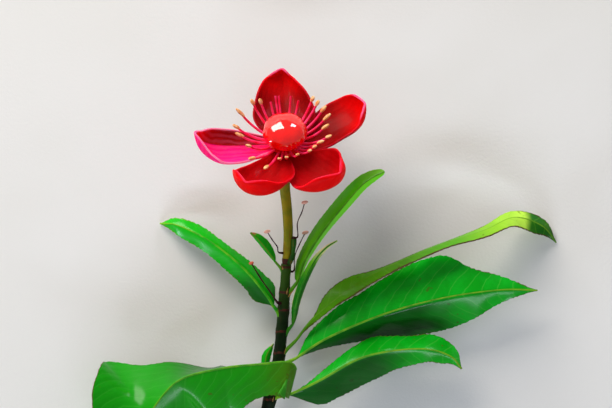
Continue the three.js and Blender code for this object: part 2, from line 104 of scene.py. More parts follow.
def linear(colour: str) -> tuple[float, float, float, float]:
    """Turns an sRGB hex colour to linear red, green, blue and full alpha."""
    shares = [int(colour[i : i + 2], 16) / 255 for i in (1, 3, 5)]
    return (*(s / 12.92 if s <= 0.04045 else ((s + 0.055) / 1.055) ** 2.4 for s in shares), 1.0)


def node(
    tree: Tree,
    kind: str,
    inputs: Mapping[str, object] | Sequence[object] = (),
    output: str | int = 0,
    **settings: object,
) -> Socket | None:
    """Adds a node to a material.

    Args:
        tree: The material's node tree.
        kind: The node's type, without the "ShaderNode" that they all start with.
        inputs: What its inputs get, by name or in their order: an output that feeds it, or a plain value.
        output: The output that is wanted.
        settings: The node's own properties.

    Returns:
        That output, or nothing where the node has none.
    """
    made = tree.nodes.new("ShaderNode" + kind)
    for name, value in settings.items():
        setattr(made, name, value)
    for name, value in inputs.items() if isinstance(inputs, Mapping) else enumerate(inputs):
        if isinstance(value, Socket):
            tree.links.new(value, made.inputs[name])
        else:
            made.inputs[name].default_value = value
    return made.outputs[output] if made.outputs else None


def coordinate(tree: Tree, chart: str, axis: str) -> Socket:
    """Reads a piece's own map, "share" of the blade or "span" in mm: X along the blade or Y across it."""
    return node(tree, "SeparateXYZ", (node(tree, "UVMap", uv_map=chart),), axis)


SMOOTH = {"interpolation_type": "SMOOTHSTEP"}
# The stretch of a noise's values that clouds run over, from none to full
CLOUDS = (0.35, 0.66)
# How far light goes in flesh, in millimetres, and the shares of that for red, green and blue
FLESH_DEPTH = 0.9
FLESH_SHARES = (1.0, 0.12, 0.08)
# A measure, where the layer is full and where it ends, its weight and its colour
Layer = tuple[Socket, float, float, float, str]


def lay(tree: Tree, colour: Socket, layers: Iterable[Layer]) -> Socket:
    """Lays colours over a colour.

    Args:
        tree: The material's node tree.
        colour: The colour underneath.
        layers: What is laid over it, the lowest layer first.

    Returns:
        The colour on top.
    """
    for measure, full, none, weight, paint in layers:
        share = node(tree, "MapRange", (measure, full, none, weight, 0.0), **SMOOTH)
        colour = node(tree, "MixRGB", (share, colour, linear(paint)))
    return colour


@dataclass(frozen=True)
class Finish:
    """A plain living surface: one colour with a soft mottle and a fine grain, sizes in millimetres."""

    name: str
    colour: str
    mottle: str
    roughness: float = 0.5
    mottle_size: float = 3.0
    grain_size: float = 0.5
    grain_depth: float = 0.03
    coat: float = 0.0
    coat_roughness: float = 0.2
    coat_ior: float = 1.5
    specular: float = 0.2
    flesh: float = 0.0

    def material(self) -> bpy.types.Material:
        """Gives the finish's material, made once and then shared.

        Returns:
            The material.
        """
        known = bpy.data.materials.get(self.name)
        if known is not None:
            return known
        made = bpy.data.materials.new(self.name)
        made.use_nodes = True
        tree = made.node_tree
        tree.nodes.clear()
        metres = node(tree, "TexCoord", output="Object")
        place = node(tree, "Mapping", {"Vector": metres, "Scale": (1 / MM, 1 / MM, 1 / MM)})
        bump = {"Height": self.relief(tree, place), "Distance": self.grain_depth * MM}
        inputs = {
            "Base Color": self.paint(tree, place),
            "Normal": node(tree, "Bump", bump),
            "Roughness": self.roughness,
            "Specular IOR Level": self.specular,
            "Coat Weight": self.coat,
            "Coat Roughness": self.coat_roughness,
            "Coat IOR": self.coat_ior,
            "Subsurface Weight": self.flesh,
            "Subsurface Radius": FLESH_SHARES,
            "Subsurface Scale": FLESH_DEPTH * MM,
        }
        node(tree, "OutputMaterial", {"Surface": node(tree, "BsdfPrincipled", inputs)})
        return made

    def clouds(self, tree: Tree, place: Socket) -> Socket:
        """Gives soft clouds of the mottle's size, from 0 to 1."""
        inputs = {"Vector": place, "Scale": 1 / self.mottle_size, "Detail": 3.0, "Roughness": 0.55}
        return node(tree, "MapRange", (node(tree, "TexNoise", inputs), *CLOUDS), **SMOOTH)

    def paint(self, tree: Tree, place: Socket) -> Socket:
        """Lays the mottle over the colour."""
        return node(tree, "MixRGB", (self.clouds(tree, place), linear(self.colour), linear(self.mottle)))

    def relief(self, tree: Tree, place: Socket) -> Socket:
        """Gives the height of the fine grain, from 0 to 1."""
        return node(tree, "TexNoise", {"Vector": place, "Scale": 1 / self.grain_size, "Detail": 2.0})


@dataclass(frozen=True)
class BladeFinish(Finish):
    """The face of a leaf: waxy skin over a net of veins.

    Side veins leave the midrib a few millimetres apart and run forwards to the margin. They catch the eye
    as pale threads in shallow furrows. The midrib is a thin pale line, and the margin a brown one that
    breaks off in places. The skin may change colour from foot to tip. One half, on one side of the midrib,
    may carry painted shade where it turns away from the light, or painted light where it faces the sky,
    which fades towards the tip.
    """

    stages: tuple[tuple[float, str], ...] = ()
    stage_mottle: float = 0.3
    # One half's painted light and shade: painted shade on most leaves, painted light on the tender ones
    painted_light_shade: str = ""
    light_shade_side: int = -1
    light_shade_from: float = 0.0
    light_shade_edge: tuple[float, float] = (-0.02, 0.05)
    light_shade_until: float = 0.45
    light_shade_fade: float = 0.35
    light_shade_left: float = 0.2
    light_shade_weight: float = 0.85
    vein: str = "#3cae1c"
    midrib: str = "#86b41c"
    margin: str = "#5c3418"
    blemish: str = "#4a4808"
    blemish_spacing: float = 1.25
    vein_spacing: float = 2.9
    vein_lean: float = 0.6
    vein_bend: float = 1.35
    vein_wander: float = 0.7
    vein_width: float = 0.2
    vein_strength: float = 0.28
    mesh_size: float = 0.8
    midrib_width: float = 0.14
    margin_width: float = 0.2
    margin_breaks: float = 0.16

    def skin(self, tree: Tree, place: Socket) -> Socket:
        """Gives the skin's colour under the veins, with its change from foot to tip.

        Args:
            tree: The material's node tree.
            place: The place in millimetres.

        Returns:
            The colour.
        """
        if not self.stages:
            return super().paint(tree, place)
        plain = node(tree, "ValToRGB", (coordinate(tree, "share", "X"),))
        ramp = plain.node.color_ramp
        while len(ramp.elements) < len(self.stages):
            ramp.elements.new(0.5)
        for stop, (share, colour) in zip(ramp.elements, self.stages, strict=True):
            stop.position = share
            stop.color = linear(colour)
        weight = node(tree, "Math", (self.clouds(tree, place), self.stage_mottle), operation="MULTIPLY")
        return node(tree, "MixRGB", (weight, plain, linear(self.mottle)))

    def light_shade_layer(self, tree: Tree) -> tuple[Layer, ...]:
        """Gives the layer of painted shade, painted light or painted reflection on one half.

        Args:
            tree: The material's node tree.

        Returns:
            The layer, or nothing where both halves are alike.
        """
        if not self.painted_light_shade:
            return ()
        middle = 0.5 + self.light_shade_from * self.light_shade_side
        across = node(tree, "Math", (coordinate(tree, "share", "Y"), middle), operation="SUBTRACT")
        edge = (across, *(share * self.light_shade_side for share in self.light_shade_edge))
        end = self.light_shade_until + self.light_shade_fade
        along = (coordinate(tree, "share", "X"), self.light_shade_until, end, 1.0, self.light_shade_left)
        turned = node(tree, "MapRange", edge, **SMOOTH)
        weight = node(tree, "Math", (turned, node(tree, "MapRange", along, **SMOOTH)), operation="MULTIPLY")
        return ((weight, 1.0, 0.0, self.light_shade_weight, self.painted_light_shade),)

    def nearness(self, tree: Tree, place: Socket) -> Socket:
        """Gives the distance to the nearest side vein.

        Args:
            tree: The material's node tree.
            place: The place in millimetres.

        Returns:
            The distance in millimetres, up to half the spacing.
        """
        across = node(tree, "Math", (coordinate(tree, "span", "Y"),), operation="ABSOLUTE")
        wander = (self.clouds(tree, place), self.vein_wander, coordinate(tree, "span", "X"))
        along = node(tree, "Math", wander, operation="MULTIPLY_ADD")
        bent = node(tree, "Math", (across, self.vein_bend), operation="POWER")
        lean = node(tree, "Math", (bent, -self.vein_lean, along), operation="MULTIPLY_ADD")
        return node(tree, "Math", (lean, self.vein_spacing / 2), operation="PINGPONG")

    def paint(self, tree: Tree, place: Socket) -> Socket:
        """Lays veins, specks, midrib and margin over the skin.

        Args:
            tree: The material's node tree.
            place: The place in millimetres.

        Returns:
            The colour.
        """
        across = node(tree, "Math", (coordinate(tree, "span", "Y"),), operation="ABSOLUTE")
        edge = node(tree, "Attribute", output="Fac", attribute_name="edge")
        broken = (self.clouds(tree, place), self.margin_breaks, edge)
        rim = node(tree, "Math", broken, operation="MULTIPLY_ADD")
        specks = node(tree, "TexNoise", {"Vector": place, "Scale": 1 / self.blemish_spacing, "Detail": 1.0})
        layers = (
            (self.nearness(tree, place), 0.02, self.vein_width, self.vein_strength, self.vein),
            (specks, 0.75, 0.72, 0.5, self.blemish),
            # Painted shade or painted light on one half, where the finish has it
            *self.light_shade_layer(tree),
            (across, 0.4 * self.midrib_width, self.midrib_width, 0.8, self.midrib),
            (rim, 0.3 * self.margin_width, self.margin_width, 0.75, self.margin),
        )
        return lay(tree, self.skin(tree, place), layers)

    def relief(self, tree: Tree, place: Socket) -> Socket:
        """Lets the skin swell between the veins, and between the finest meshes of their net.

        Args:
            tree: The material's node tree.
            place: The place in millimetres.

        Returns:
            The height.
        """
        ends = (self.nearness(tree, place), 0.0, self.vein_spacing / 2)
        swell = node(tree, "MapRange", ends, **SMOOTH)
        cells = {"Vector": place, "Scale": 1 / self.mesh_size}
        net = node(tree, "TexVoronoi", cells, feature="DISTANCE_TO_EDGE")
        return node(tree, "Math", (net, 0.5, swell), operation="MULTIPLY_ADD")


@dataclass(frozen=True)
class SepalFinish(BladeFinish):
    """A fleshy sepal: lacquer-red skin with painted shade in the cup and fine furrows from foot to tip."""

    # Painted shade in the cup, darkest from the foot to the middle, a painted highlight on the rim and a
    # painted sheen on the tip
    cup: str = "#620002"
    rim: str = "#ee2040"
    rim_highlight_weight: float = 0.2
    tip_sheen: str = "#f2649a"
    tip_sheen_reach: float = 1 / 16
    streak: str = "#ff80b0"
    streak_weight: float = 0.0
    furrow_pitch: float = 1.1
    furrow_wander: float = 0.5

    def paint(self, tree: Tree, place: Socket) -> Socket:
        """Lays the cup's painted shade, a half's painted reflection, the streaks and painted rim and tip
        highlights.

        Args:
            tree: The material's node tree.
            place: The place in millimetres.

        Returns:
            The colour.
        """
        edge = node(tree, "Attribute", output="Fac", attribute_name="edge")
        along = coordinate(tree, "share", "X")
        # How near a point is to the tip's painted sheen, along the sepal and in from its margin
        tip = (along, -1 / self.tip_sheen_reach, 1 / self.tip_sheen_reach)
        nearest = node(tree, "Math", (node(tree, "Math", tip, operation="MULTIPLY_ADD"), edge))
        furrows = self.relief(tree, place)
        layers = (
            (along, 0.45, 1.0, 0.85, self.cup),
            # A painted reflection on one half, on the left sepal
            *self.light_shade_layer(tree),
            (furrows, 0.5 * self.furrow_pitch, 0.0, self.streak_weight, self.streak),
            (edge, 0.1, 0.45, self.rim_highlight_weight, self.rim),
            (nearest, 0.3, 1.3, 0.8, self.tip_sheen),
        )
        return lay(tree, self.skin(tree, place), layers)

    def relief(self, tree: Tree, place: Socket) -> Socket:
        """Presses furrows along the sepal.

        Args:
            tree: The material's node tree.
            place: The place in millimetres.

        Returns:
            The height.
        """
        wander = (self.clouds(tree, place), self.furrow_wander, coordinate(tree, "span", "Y"))
        across = node(tree, "Math", wander, operation="MULTIPLY_ADD")
        return node(tree, "Math", (across, self.furrow_pitch / 2), operation="PINGPONG")


@dataclass(frozen=True)
class BarkFinish(Finish):
    """Young bark: green skin with brown streaks along the stem, and a flush towards the upper end."""

    streak: str = "#2c1c0c"
    flush: str = "#2c4c06"
    flush_from: float = -12.0
    flush_reach: float = 14.0
    streak_scale: Point = (2.4, 0.35, 2.4)

    def streaks(self, tree: Tree, place: Socket) -> Socket:
        """Gives a noise drawn out along the stem."""
        drawn = node(tree, "Mapping", {"Vector": place, "Scale": self.streak_scale})
        return node(tree, "TexNoise", {"Vector": drawn, "Scale": 1.0, "Detail": 4.0})

    def paint(self, tree: Tree, place: Socket) -> Socket:
        """Lays streaks and flush over the mottle.

        Args:
            tree: The material's node tree.
            place: The place in millimetres.

        Returns:
            The colour.
        """
        height = node(tree, "SeparateXYZ", (place,), "Y")
        layers = (
            (self.streaks(tree, place), 0.72, 0.55, 0.55, self.streak),
            (height, self.flush_from + self.flush_reach, self.flush_from, 0.8, self.flush),
        )
        return lay(tree, super().paint(tree, place), layers)

    def relief(self, tree: Tree, place: Socket) -> Socket:
        """Cuts the streaks into the bark."""
        return self.streaks(tree, place)


@dataclass(frozen=True)
class LeafDress:
    """The four finishes of one leaf, and the material slot that they belong to."""

    face: BladeFinish
    under: BladeFinish
    margin: Finish
    rib: Finish
    slot: Slot = Slot.LEAF


def trim(kind: str, *colours: tuple[str, str]) -> tuple[Finish, ...]:
    """Gives a kind of leaf its underside, margin and rib, like a grown leaf's in other colours.

    Args:
        kind: The kind, which ends the finishes' names.
        colours: The colour and mottle of the underside, the margin and the rib.

    Returns:
        The three finishes.
    """
    parts = ((GROWN_UNDER, "leaf_underside"), (LEAF_MARGIN, "leaf_margin"), (GROWN_RIB, "leaf_rib"))
    return tuple(
        replace(finish, name=f"{name}_{kind}", colour=colour, mottle=mottle)
        for (finish, name), (colour, mottle) in zip(parts, colours, strict=True)
    )


# Grown leaves: a thick waxy skin, deep green with small sharp glints, over a paler and duller underside
GROWN_FACE = BladeFinish(
    "leaf_skin_grown",
    colour="#04a212",
    mottle="#08b620",
    # Painted shade on the half turned from the light, fading towards the tip
    painted_light_shade="#012c02",
    roughness=0.45,
    mottle_size=5.0,
    coat=0.26,
    coat_roughness=0.17,
    specular=0.04,
    vein="#5cc848",
    grain_depth=0.035,
)
GROWN_UNDER = BladeFinish(
    "leaf_underside_grown",
    colour="#287e12",
    mottle="#368e1a",
    vein="#62a430",
    roughness=0.62,
    specular=0.15,
    grain_depth=0.06,
)
LEAF_MARGIN = Finish("leaf_margin", "#4c5a10", "#6a3014", mottle_size=1.2)
GROWN_RIB = Finish("leaf_rib_grown", "#509410", "#78ac18", mottle_size=2.0)
GROWN = LeafDress(GROWN_FACE, GROWN_UNDER, LEAF_MARGIN, GROWN_RIB)

# The folded leaf in front is the same skin, turned olive where it leaves the stem
FRONT = replace(
    GROWN,
    face=replace(
        GROWN_FACE,
        name="leaf_skin_front",
        stages=((0.0, "#4e5a04"), (0.14, "#446c04"), (0.3, "#1a8c06"), (1.0, "#069006")),
        mottle="#06a00a",
        # Painted shade on one half near the stem
        painted_light_shade="#024a04",
        light_shade_until=0.36,
        light_shade_left=0.0,
        midrib="#64a010",
        vein_strength=0.12,
        specular=0.06,
    ),
    rib=replace(GROWN_RIB, name="leaf_rib_front", colour="#38880a", mottle="#60a012"),
)

# Leaves that have just grown out are a brighter green with softer veins
FRESH_FACE = replace(
    GROWN_FACE,
    name="leaf_skin_fresh",
    stages=((0.0, "#0e6406"), (0.3, "#089a08"), (1.0, "#0cb40c")),
    mottle="#10be0c",
    # Painted shade on one half near the foot
    painted_light_shade="#0a5404",
    light_shade_side=1,
    light_shade_until=0.1,
    light_shade_left=0.0,
    vein="#38c418",
    midrib="#a0c820",
    vein_spacing=2.3,
    vein_strength=0.2,
    grain_depth=0.02,
    midrib_width=0.12,
    margin="#7c901a",
    coat=0.35,
)
FRESH = LeafDress(
    FRESH_FACE, *trim("fresh", ("#349012", "#42a018"), ("#7c9c18", "#7a6c18"), ("#1c960a", "#64b014"))
)

# The long drooping leaf on the right: painted shade at its foot, painted light that pales it towards its
# bend, and painted shade in the dark green tip where it bends down
DROOPING_FACE = replace(
    FRESH_FACE,
    name="leaf_skin_drooping",
    stages=(
        (0.0, "#286004"), (0.16, "#468a02"), (0.3, "#4c9402"), (0.46, "#3c7c04"), (0.62, "#449214"),
        (0.76, "#88c028"), (0.86, "#b8e84a"), (0.885, "#08640c"), (1.0, "#206008"),
    ),
    painted_light_shade="",
    mottle="#58980a",
    vein="#6cae24",
    midrib="#5c8c0c",
    margin="#4c2008",
    margin_width=0.3,
    margin_breaks=0.24,
    coat=0.12,
    specular=0.08,
)
DROOPING = LeafDress(
    DROOPING_FACE,
    *trim("drooping", ("#468c0a", "#5c9c14"), ("#5a2c10", "#4c4a0c"), ("#468208", "#5c9410")),
)

# The youngest leaves are soft and nearly without side veins, with lime painted light on the half facing the
# sky
TENDER_FACE = replace(
    FRESH_FACE,
    name="leaf_skin_tender",
    stages=((0.0, "#388c04"), (0.25, "#54a402"), (0.8, "#48b404"), (1.0, "#7ccc2c")),
    mottle="#50b008",
    painted_light_shade="#78e808",
    light_shade_side=-1,
    light_shade_until=1.0,
    vein="#68be1c",
    midrib="#5ca80c",
    vein_strength=0.12,
    grain_depth=0.015,
    margin="#b0e038",
    coat=0.15,
    specular=0.1,
)
TENDER = LeafDress(
    TENDER_FACE,
    *trim("tender", ("#4c9c14", "#5cae1c"), ("#9cd430", "#8cbc24"), ("#468c08", "#5ca410")),
    slot=Slot.YOUNG_LEAF,
)
THIN = replace(
    TENDER,
    face=replace(
        TENDER_FACE,
        name="leaf_skin_thin",
        stages=((0.0, "#0c5406"), (0.5, "#126a06"), (0.7, "#6cc014"), (0.82, "#f0e8a0"), (1.0, "#ffdcc0")),
        mottle="#1c8c08",
        margin="#e0e0a0",
        # Painted shade on one half in place of the lime painted light
        painted_light_shade="#0c6406",
        light_shade_until=0.55,
        light_shade_left=0.0,
    ),
    rib=replace(GROWN_RIB, name="leaf_rib_thin", colour="#1c6808", mottle="#30840a"),
)
SMALL = replace(
    TENDER,
    face=replace(
        TENDER_FACE,
        name="leaf_skin_small",
        stages=((0.0, "#2c5808"), (0.2, "#0a8c08"), (0.86, "#0aa00c"), (0.93, "#c84c58"), (1.0, "#8c2c34")),
        mottle="#12a80c",
        painted_light_shade="",
        midrib="#2c900c",
        margin="#c8d898",
    ),
    rib=replace(GROWN_RIB, name="leaf_rib_small", colour="#3c7c0c", mottle="#548c14"),
)

# Bark, wood and the stalk
GREEN_BARK = BarkFinish(
    "green_bark", "#051403", "#0c2406", roughness=0.55, mottle_size=2.2, specular=0.12, grain_depth=0.09
)
SCAR_CORK = Finish("scar_cork", "#2c120a", "#4c2014", roughness=0.75, mottle_size=0.8)
FRESH_WOOD = Finish("fresh_wood", "#b9c088", "#ccd09c", roughness=0.7, mottle_size=0.5)
PITH = Finish("pith", "#8f8f58", "#a5a26c", roughness=0.85, mottle_size=0.3)
OLIVE_STALK = BarkFinish(
    "olive_stalk",
    colour="#8c7c08",
    mottle="#6c7008",
    mottle_size=2.8,
    specular=0.15,
    grain_depth=0.04,
    streak="#7a4c08",
    flush="#6c1c0c",
    flush_from=14.5,
    flush_reach=3.0,
)
# The flush starts far beyond the stub's end, so it has none
GREEN_STUB = replace(OLIVE_STALK, name="green_stub", colour="#123c08", mottle="#1c500c", flush_from=1000.0)
STIPULE_SKIN = Finish("stipule", "#7a5228", "#a07a40", roughness=0.7, mottle_size=0.8)

# The flower: a lacquered dome, fleshy sepals that light shines through, and threads with dry anthers
DOME_SKIN = Finish(
    "receptacle_skin",
    colour="#f20200",
    mottle="#ff0c02",
    roughness=0.35,
    mottle_size=2.5,
    grain_size=1.2,
    grain_depth=0.006,
    coat=0.9,
    coat_roughness=0.07,
    coat_ior=1.9,
    specular=0.04,
    flesh=0.3,
)
# Its cup colour is painted shade, its rim colour a painted highlight and its tip colour a painted sheen
SEPAL_SKIN = SepalFinish(
    "sepal_skin",
    colour="#dc0002",
    mottle="#ee0002",
    roughness=0.6,
    mottle_size=3.5,
    grain_depth=0.05,
    coat=0.03,
    coat_roughness=0.12,
    specular=0.04,
    flesh=0.6,
)
# The left sepal: one half painted magenta as a painted reflection of the sky, a strong painted highlight on
# its rim, faint pale streaks
SHEEN_SEPAL_SKIN = replace(
    SEPAL_SKIN,
    name="sepal_skin_sheen",
    painted_light_shade="#ff0a70",
    light_shade_side=1,
    light_shade_from=-0.15,
    light_shade_until=1.0,
    light_shade_weight=1.0,
    rim="#f890b8",
    rim_highlight_weight=0.7,
    streak_weight=0.08,
)
# The lower sepals: paler painted shade in the cup and a redder painted sheen on the tip
PLAIN_SEPAL_SKIN = replace(SEPAL_SKIN, name="sepal_skin_plain", cup="#980006", tip_sheen="#ea2c50")
# The sepals' backs: a brighter red, painted light standing in for light shining through, with paler painted
# shade in the cup
SEPAL_BACK_GLOW = replace(
    SEPAL_SKIN, name="sepal_back_glow", colour="#fa0200", mottle="#ff0400", cup="#d00000", tip_sheen="#f8143c"
)
FILAMENT = Finish("stamen_thread", "#ff1048", "#ff4080", mottle_size=1.5)
ANTHER = Finish("dry_anther", "#dc904c", "#f0c490", roughness=0.7, mottle_size=0.6)
COLLAR_SKIN = Finish("stamen_collar", "#d40408", "#e80c10", specular=0.05, flesh=0.2)
SPENT_SKIN = Finish("spent_skin", "#240610", "#3c0a14", specular=0.1, mottle_size=0.9)
SPENT_KNOB = Finish("spent_knob", "#e0a08c", "#f0bca8", roughness=0.7, mottle_size=0.5)
RED_KNOB = replace(SPENT_KNOB, name="spent_knob_red", colour="#b84430", mottle="#d46c50")
PAPER = Finish("matt_paper", "#dfdeda", "#e2e1de", roughness=0.9, mottle_size=40.0)


def spline(a: Value, b: Value, c: Value, d: Value, s: float) -> Value:
    """Gives a smooth step from b to c at its share s, where a comes before them and d after."""
    return b + 0.5 * s * (c - a + s * (2 * a - 5 * b + 4 * c - d + s * (3 * b - a - 3 * c + d)))


def through(values: Sequence[float], u: float) -> float:
    """Reads a smooth line through evenly spaced values.

    Args:
        values: The values from foot to tip, or one that holds all along.
        u: The share of the length.

    Returns:
        The value there.
    """
    last = len(values) - 1
    i = min(int(u * last), last - 1)
    return spline(*(values[min(max(k, 0), last)] for k in range(i - 1, i + 3)), u * last - i)


class Path:
    """A smooth line through points, measured by its length."""

    def __init__(self, points: Iterable[Sequence[float]], fineness: int = 600) -> None:
        """Measures the line.

        Args:
            points: The points it passes through.
            fineness: How many short steps measure it.
        """
        inner = [Vector(p) for p in points]
        self.points = [2 * inner[0] - inner[1], *inner, 2 * inner[-1] - inner[-2]]
        self.spans = len(inner) - 1
        marks = [self.at(i / fineness) for i in range(fineness + 1)]
        self.lengths = [0.0]
        for a, b in pairwise(marks):
            self.lengths.append(self.lengths[-1] + (b - a).length)
        self.length = self.lengths[-1]

    def at(self, t: float) -> Vector:
        """Gives the point at the share t of the line's points, by the rule of a cubic spline.

        Args:
            t: The share of the points, from 0 to 1.

        Returns:
            The point.
        """
        place = min(max(t, 0.0), 1.0) * self.spans
        i = min(int(place), self.spans - 1)
        return spline(*self.points[i : i + 4], place - i)

    def knot(self, u: float) -> float:
        """Gives the share of the points, as at() takes it, at the share u of the length.

        Args:
            u: The share of the length, from 0 to 1.

        Returns:
            The share of the points, as at() takes it.
        """
        goal = min(max(u, 0.0), 1.0) * self.length
        low, high = 0, len(self.lengths) - 1
        while high - low > 1:
            middle = (low + high) // 2
            if self.lengths[middle] <= goal:
                low = middle
            else:
                high = middle
        step = self.lengths[high] - self.lengths[low]
        return (low + (goal - self.lengths[low]) / step) / (len(self.lengths) - 1)

    def point(self, u: float) -> Vector:
        """Gives the point at the share u of the length."""
        return self.at(self.knot(u))

    def heading(self, t: float, step: float) -> Vector:
        """Gives the direction at the share t of the points, between a step before and a step after."""
        return (self.at(t + step) - self.at(t - step)).normalized()

    def tangent(self, u: float) -> Vector:
        """Gives the direction at the share u of the length."""
        return self.heading(self.knot(u), 1e-3)


class Limb(Path):
    """A limb's axis, with one radius for each of its points."""

    def __init__(self, points: Iterable[Sequence[float]], radii: Sequence[float]) -> None:
        """Measures the axis through the points and keeps the radii there."""
        super().__init__(points)
        self.radii = radii

    def radius(self, u: float) -> float:
        """Gives the radius at the share u of the length.

        Args:
            u: The share of the length.

        Returns:
            The radius.
        """
        place = self.knot(u) * (len(self.radii) - 1)
        i = min(int(place), len(self.radii) - 2)
        return self.radii[i] + (self.radii[i + 1] - self.radii[i]) * (place - i)

    def passing(self, height: float) -> tuple[Vector, float]:
        """Finds where the limb passes a height.

        Args:
            height: The height along Y.

        Returns:
            The point of the axis and the radius there.
        """
        low, high = 0.0, 1.0
        for _ in range(40):
            middle = (low + high) / 2
            if self.point(middle).y < height:
                low = middle
            else:
                high = middle
        return self.point(low), self.radius(low)


STEM_LIMB = Limb(STEM_AXIS, STEM_RADII)
STALK_LIMB = Limb(STALK_AXIS, STALK_RADII)


def only(*objects: Piece) -> None:
    """Selects these objects and nothing else, the first one active.

    Args:
        objects: The objects, or none.
    """
    bpy.ops.object.select_all(action="DESELECT")
    for each in objects:
        each.select_set(True)
    if objects:
        bpy.context.view_layer.objects.active = objects[0]


def new_piece(name: str, primitive: Callable[..., object], **settings: object) -> Piece:
    """Adds a primitive.

    Args:
        name: Its name.
        primitive: The operator that adds it.
        settings: The operator's settings.

    Returns:
        The new object, the only one selected.
    """
    only()
    primitive(**settings)
    bpy.context.object.name = name
    return bpy.context.object


@contextmanager
def editing(piece: Piece, *, whole: bool = False) -> Iterator[None]:
    """Holds a piece in edit mode, with its present selection or with the whole of it selected.

    Args:
        piece: The piece.
        whole: Whether all of it is selected first.
    """
    only(piece)
    bpy.ops.object.mode_set(mode="EDIT")
    if whole:
        bpy.ops.mesh.select_all(action="SELECT")
    yield
    bpy.ops.object.mode_set(mode="OBJECT")


def pick(piece: Piece, chosen: Callable[[Vector], bool]) -> None:
    """Selects the corners of a piece that pass a test, and nothing else of it.

    Args:
        piece: The piece.
        chosen: The test, on a corner's place.
    """
    mesh = piece.data
    for group in (mesh.polygons, mesh.edges):
        group.foreach_set("select", [False] * len(group))
    mesh.vertices.foreach_set("select", [chosen(corner.co) for corner in mesh.vertices])


def turn(delta: Quaternion, centre: Vector) -> None:
    """Turns the selection; with no window the operator turns the other way, hence the minus sign.

    Args:
        delta: The turn.
        centre: The point it turns about.
    """
    for axis, angle in zip("XYZ", delta.to_euler("XYZ"), strict=True):
        if abs(angle) > 1e-5:
            bpy.ops.transform.rotate(value=-angle, orient_axis=axis, center_override=centre)


def fix(piece: Piece) -> None:
    """Takes a piece's place, turn and scale into its mesh."""
    only(piece)
    bpy.ops.object.transform_apply(location=True, rotation=True, scale=True)


def turned_to(way: Vector, up: str = "Y") -> Matrix:
    """Turns the Z axis to a direction, with another axis kept upright."""
    return way.to_track_quat("Z", up).to_matrix().to_4x4()


@dataclass(frozen=True)
class Ring:
    """A cross-section of a limb."""

    centre: Vector
    along: Vector
    radius: float


def rings_of(line: Path, steps: int, radius: Callable[[float], float]) -> list[Ring]:
    """Spaces cross-sections evenly along a line, each with the radius for its share of the length."""
    shares = [i / steps for i in range(steps + 1)]
    return [Ring(line.point(u), line.tangent(u), radius(u)) for u in shares]


def grow(name: str, rings: Sequence[Ring], sides: int, ridge: float = 0.0) -> Piece:
    """Extrudes a filled circle through cross-sections, as a closed limb.

    Args:
        name: The piece's name.
        rings: The cross-sections.
        sides: How many sides the circle has.
        ridge: The share by which every other corner stands out, as lengthwise ridges.

    Returns:
        The limb.
    """
    first = rings[0]
    limb = new_piece(
        name,
        bpy.ops.mesh.primitive_circle_add,
        vertices=sides,
        radius=first.radius,
        fill_type="NGON",
        location=first.centre,
        rotation=first.along.to_track_quat("Z", "Y").to_euler(),
    )
    fix(limb)
    if ridge:
        for corner in list(limb.data.vertices)[::2]:
            corner.co = first.centre + (corner.co - first.centre) * (1 + ridge)
    with editing(limb, whole=True):
        for before, after in pairwise(rings):
            bpy.ops.mesh.extrude_region_move(TRANSFORM_OT_translate={"value": after.centre - before.centre})
            turn(before.along.rotation_difference(after.along), after.centre)
            scale = after.radius / before.radius
            bpy.ops.transform.resize(value=(scale, scale, scale), center_override=after.centre)
        # Extruding leaves the foot open
        bpy.ops.mesh.select_all(action="DESELECT")
        bpy.ops.mesh.select_non_manifold()
        bpy.ops.mesh.edge_face_add()
        bpy.ops.mesh.select_all(action="SELECT")
        bpy.ops.mesh.normals_make_consistent(inside=False)
    return limb


def pinched(name: str, size: Point, waist: Point, pinch: Point, **facets: int) -> Piece:
    """Models a small round body about the origin, with a waist.

    Args:
        name: Its name.
        size: Its half lengths along the three axes.
        waist: The half lengths of the box round its middle whose corners make the waist.
        pinch: The scale of the waist along the three axes.
        facets: How many segments and rings it has.

    Returns:
        The body.
    """
    body = new_piece(name, bpy.ops.mesh.primitive_uv_sphere_add, radius=1.0, **facets)
    with editing(body, whole=True):
        bpy.ops.transform.resize(value=size, center_override=(0.0, 0.0, 0.0))
    pick(body, lambda co: all(abs(part) < half for part, half in zip(co, waist, strict=True)))
    with editing(body):
        bpy.ops.transform.resize(value=pinch, center_override=(0.0, 0.0, 0.0))
    return body


def copy_of(model: Piece, name: str) -> Piece:
    """Copies a piece with a mesh of its own.

    Args:
        model: The piece that is copied.
        name: The copy's name.

    Returns:
        The copy.
    """
    made = model.copy()
    made.data = model.data.copy()
    made.name = name
    bpy.context.scene.collection.objects.link(made)
    return made


def joined(name: str, pieces: Sequence[Piece]) -> Piece:
    """Joins pieces into the first one, with their material slots kept, and gives it a name.

    Args:
        name: The name of the whole.
        pieces: The pieces, whose material slots are kept.

    Returns:
        The joined object.
    """
    only(*pieces)
    bpy.ops.object.join()
    pieces[0].name = name
    return pieces[0]


def dress(piece: Piece, *finishes: Finish) -> None:
    """Gives a piece the materials of these finishes, in the order of its slots.

    Args:
        piece: The piece.
        finishes: Its finishes, in the order of its slots.
    """
    piece.data.materials.clear()
    for finish in finishes:
        piece.data.materials.append(finish.material())


def patch(piece: Piece, chosen: Callable[[Vector], bool]) -> None:
    """Gives the faces whose middle passes a test the second of the piece's materials.

    Args:
        piece: The piece.
        chosen: The test, on a face's middle.
    """
    for face in piece.data.polygons:
        if chosen(face.center):
            face.material_index = 1


def smooth(piece: Piece, degrees: float = 40.0) -> None:
    """Shades a piece smooth, apart from edges sharper than the angle."""
    only(piece)
    bpy.ops.object.shade_smooth_by_angle(angle=math.radians(degrees))


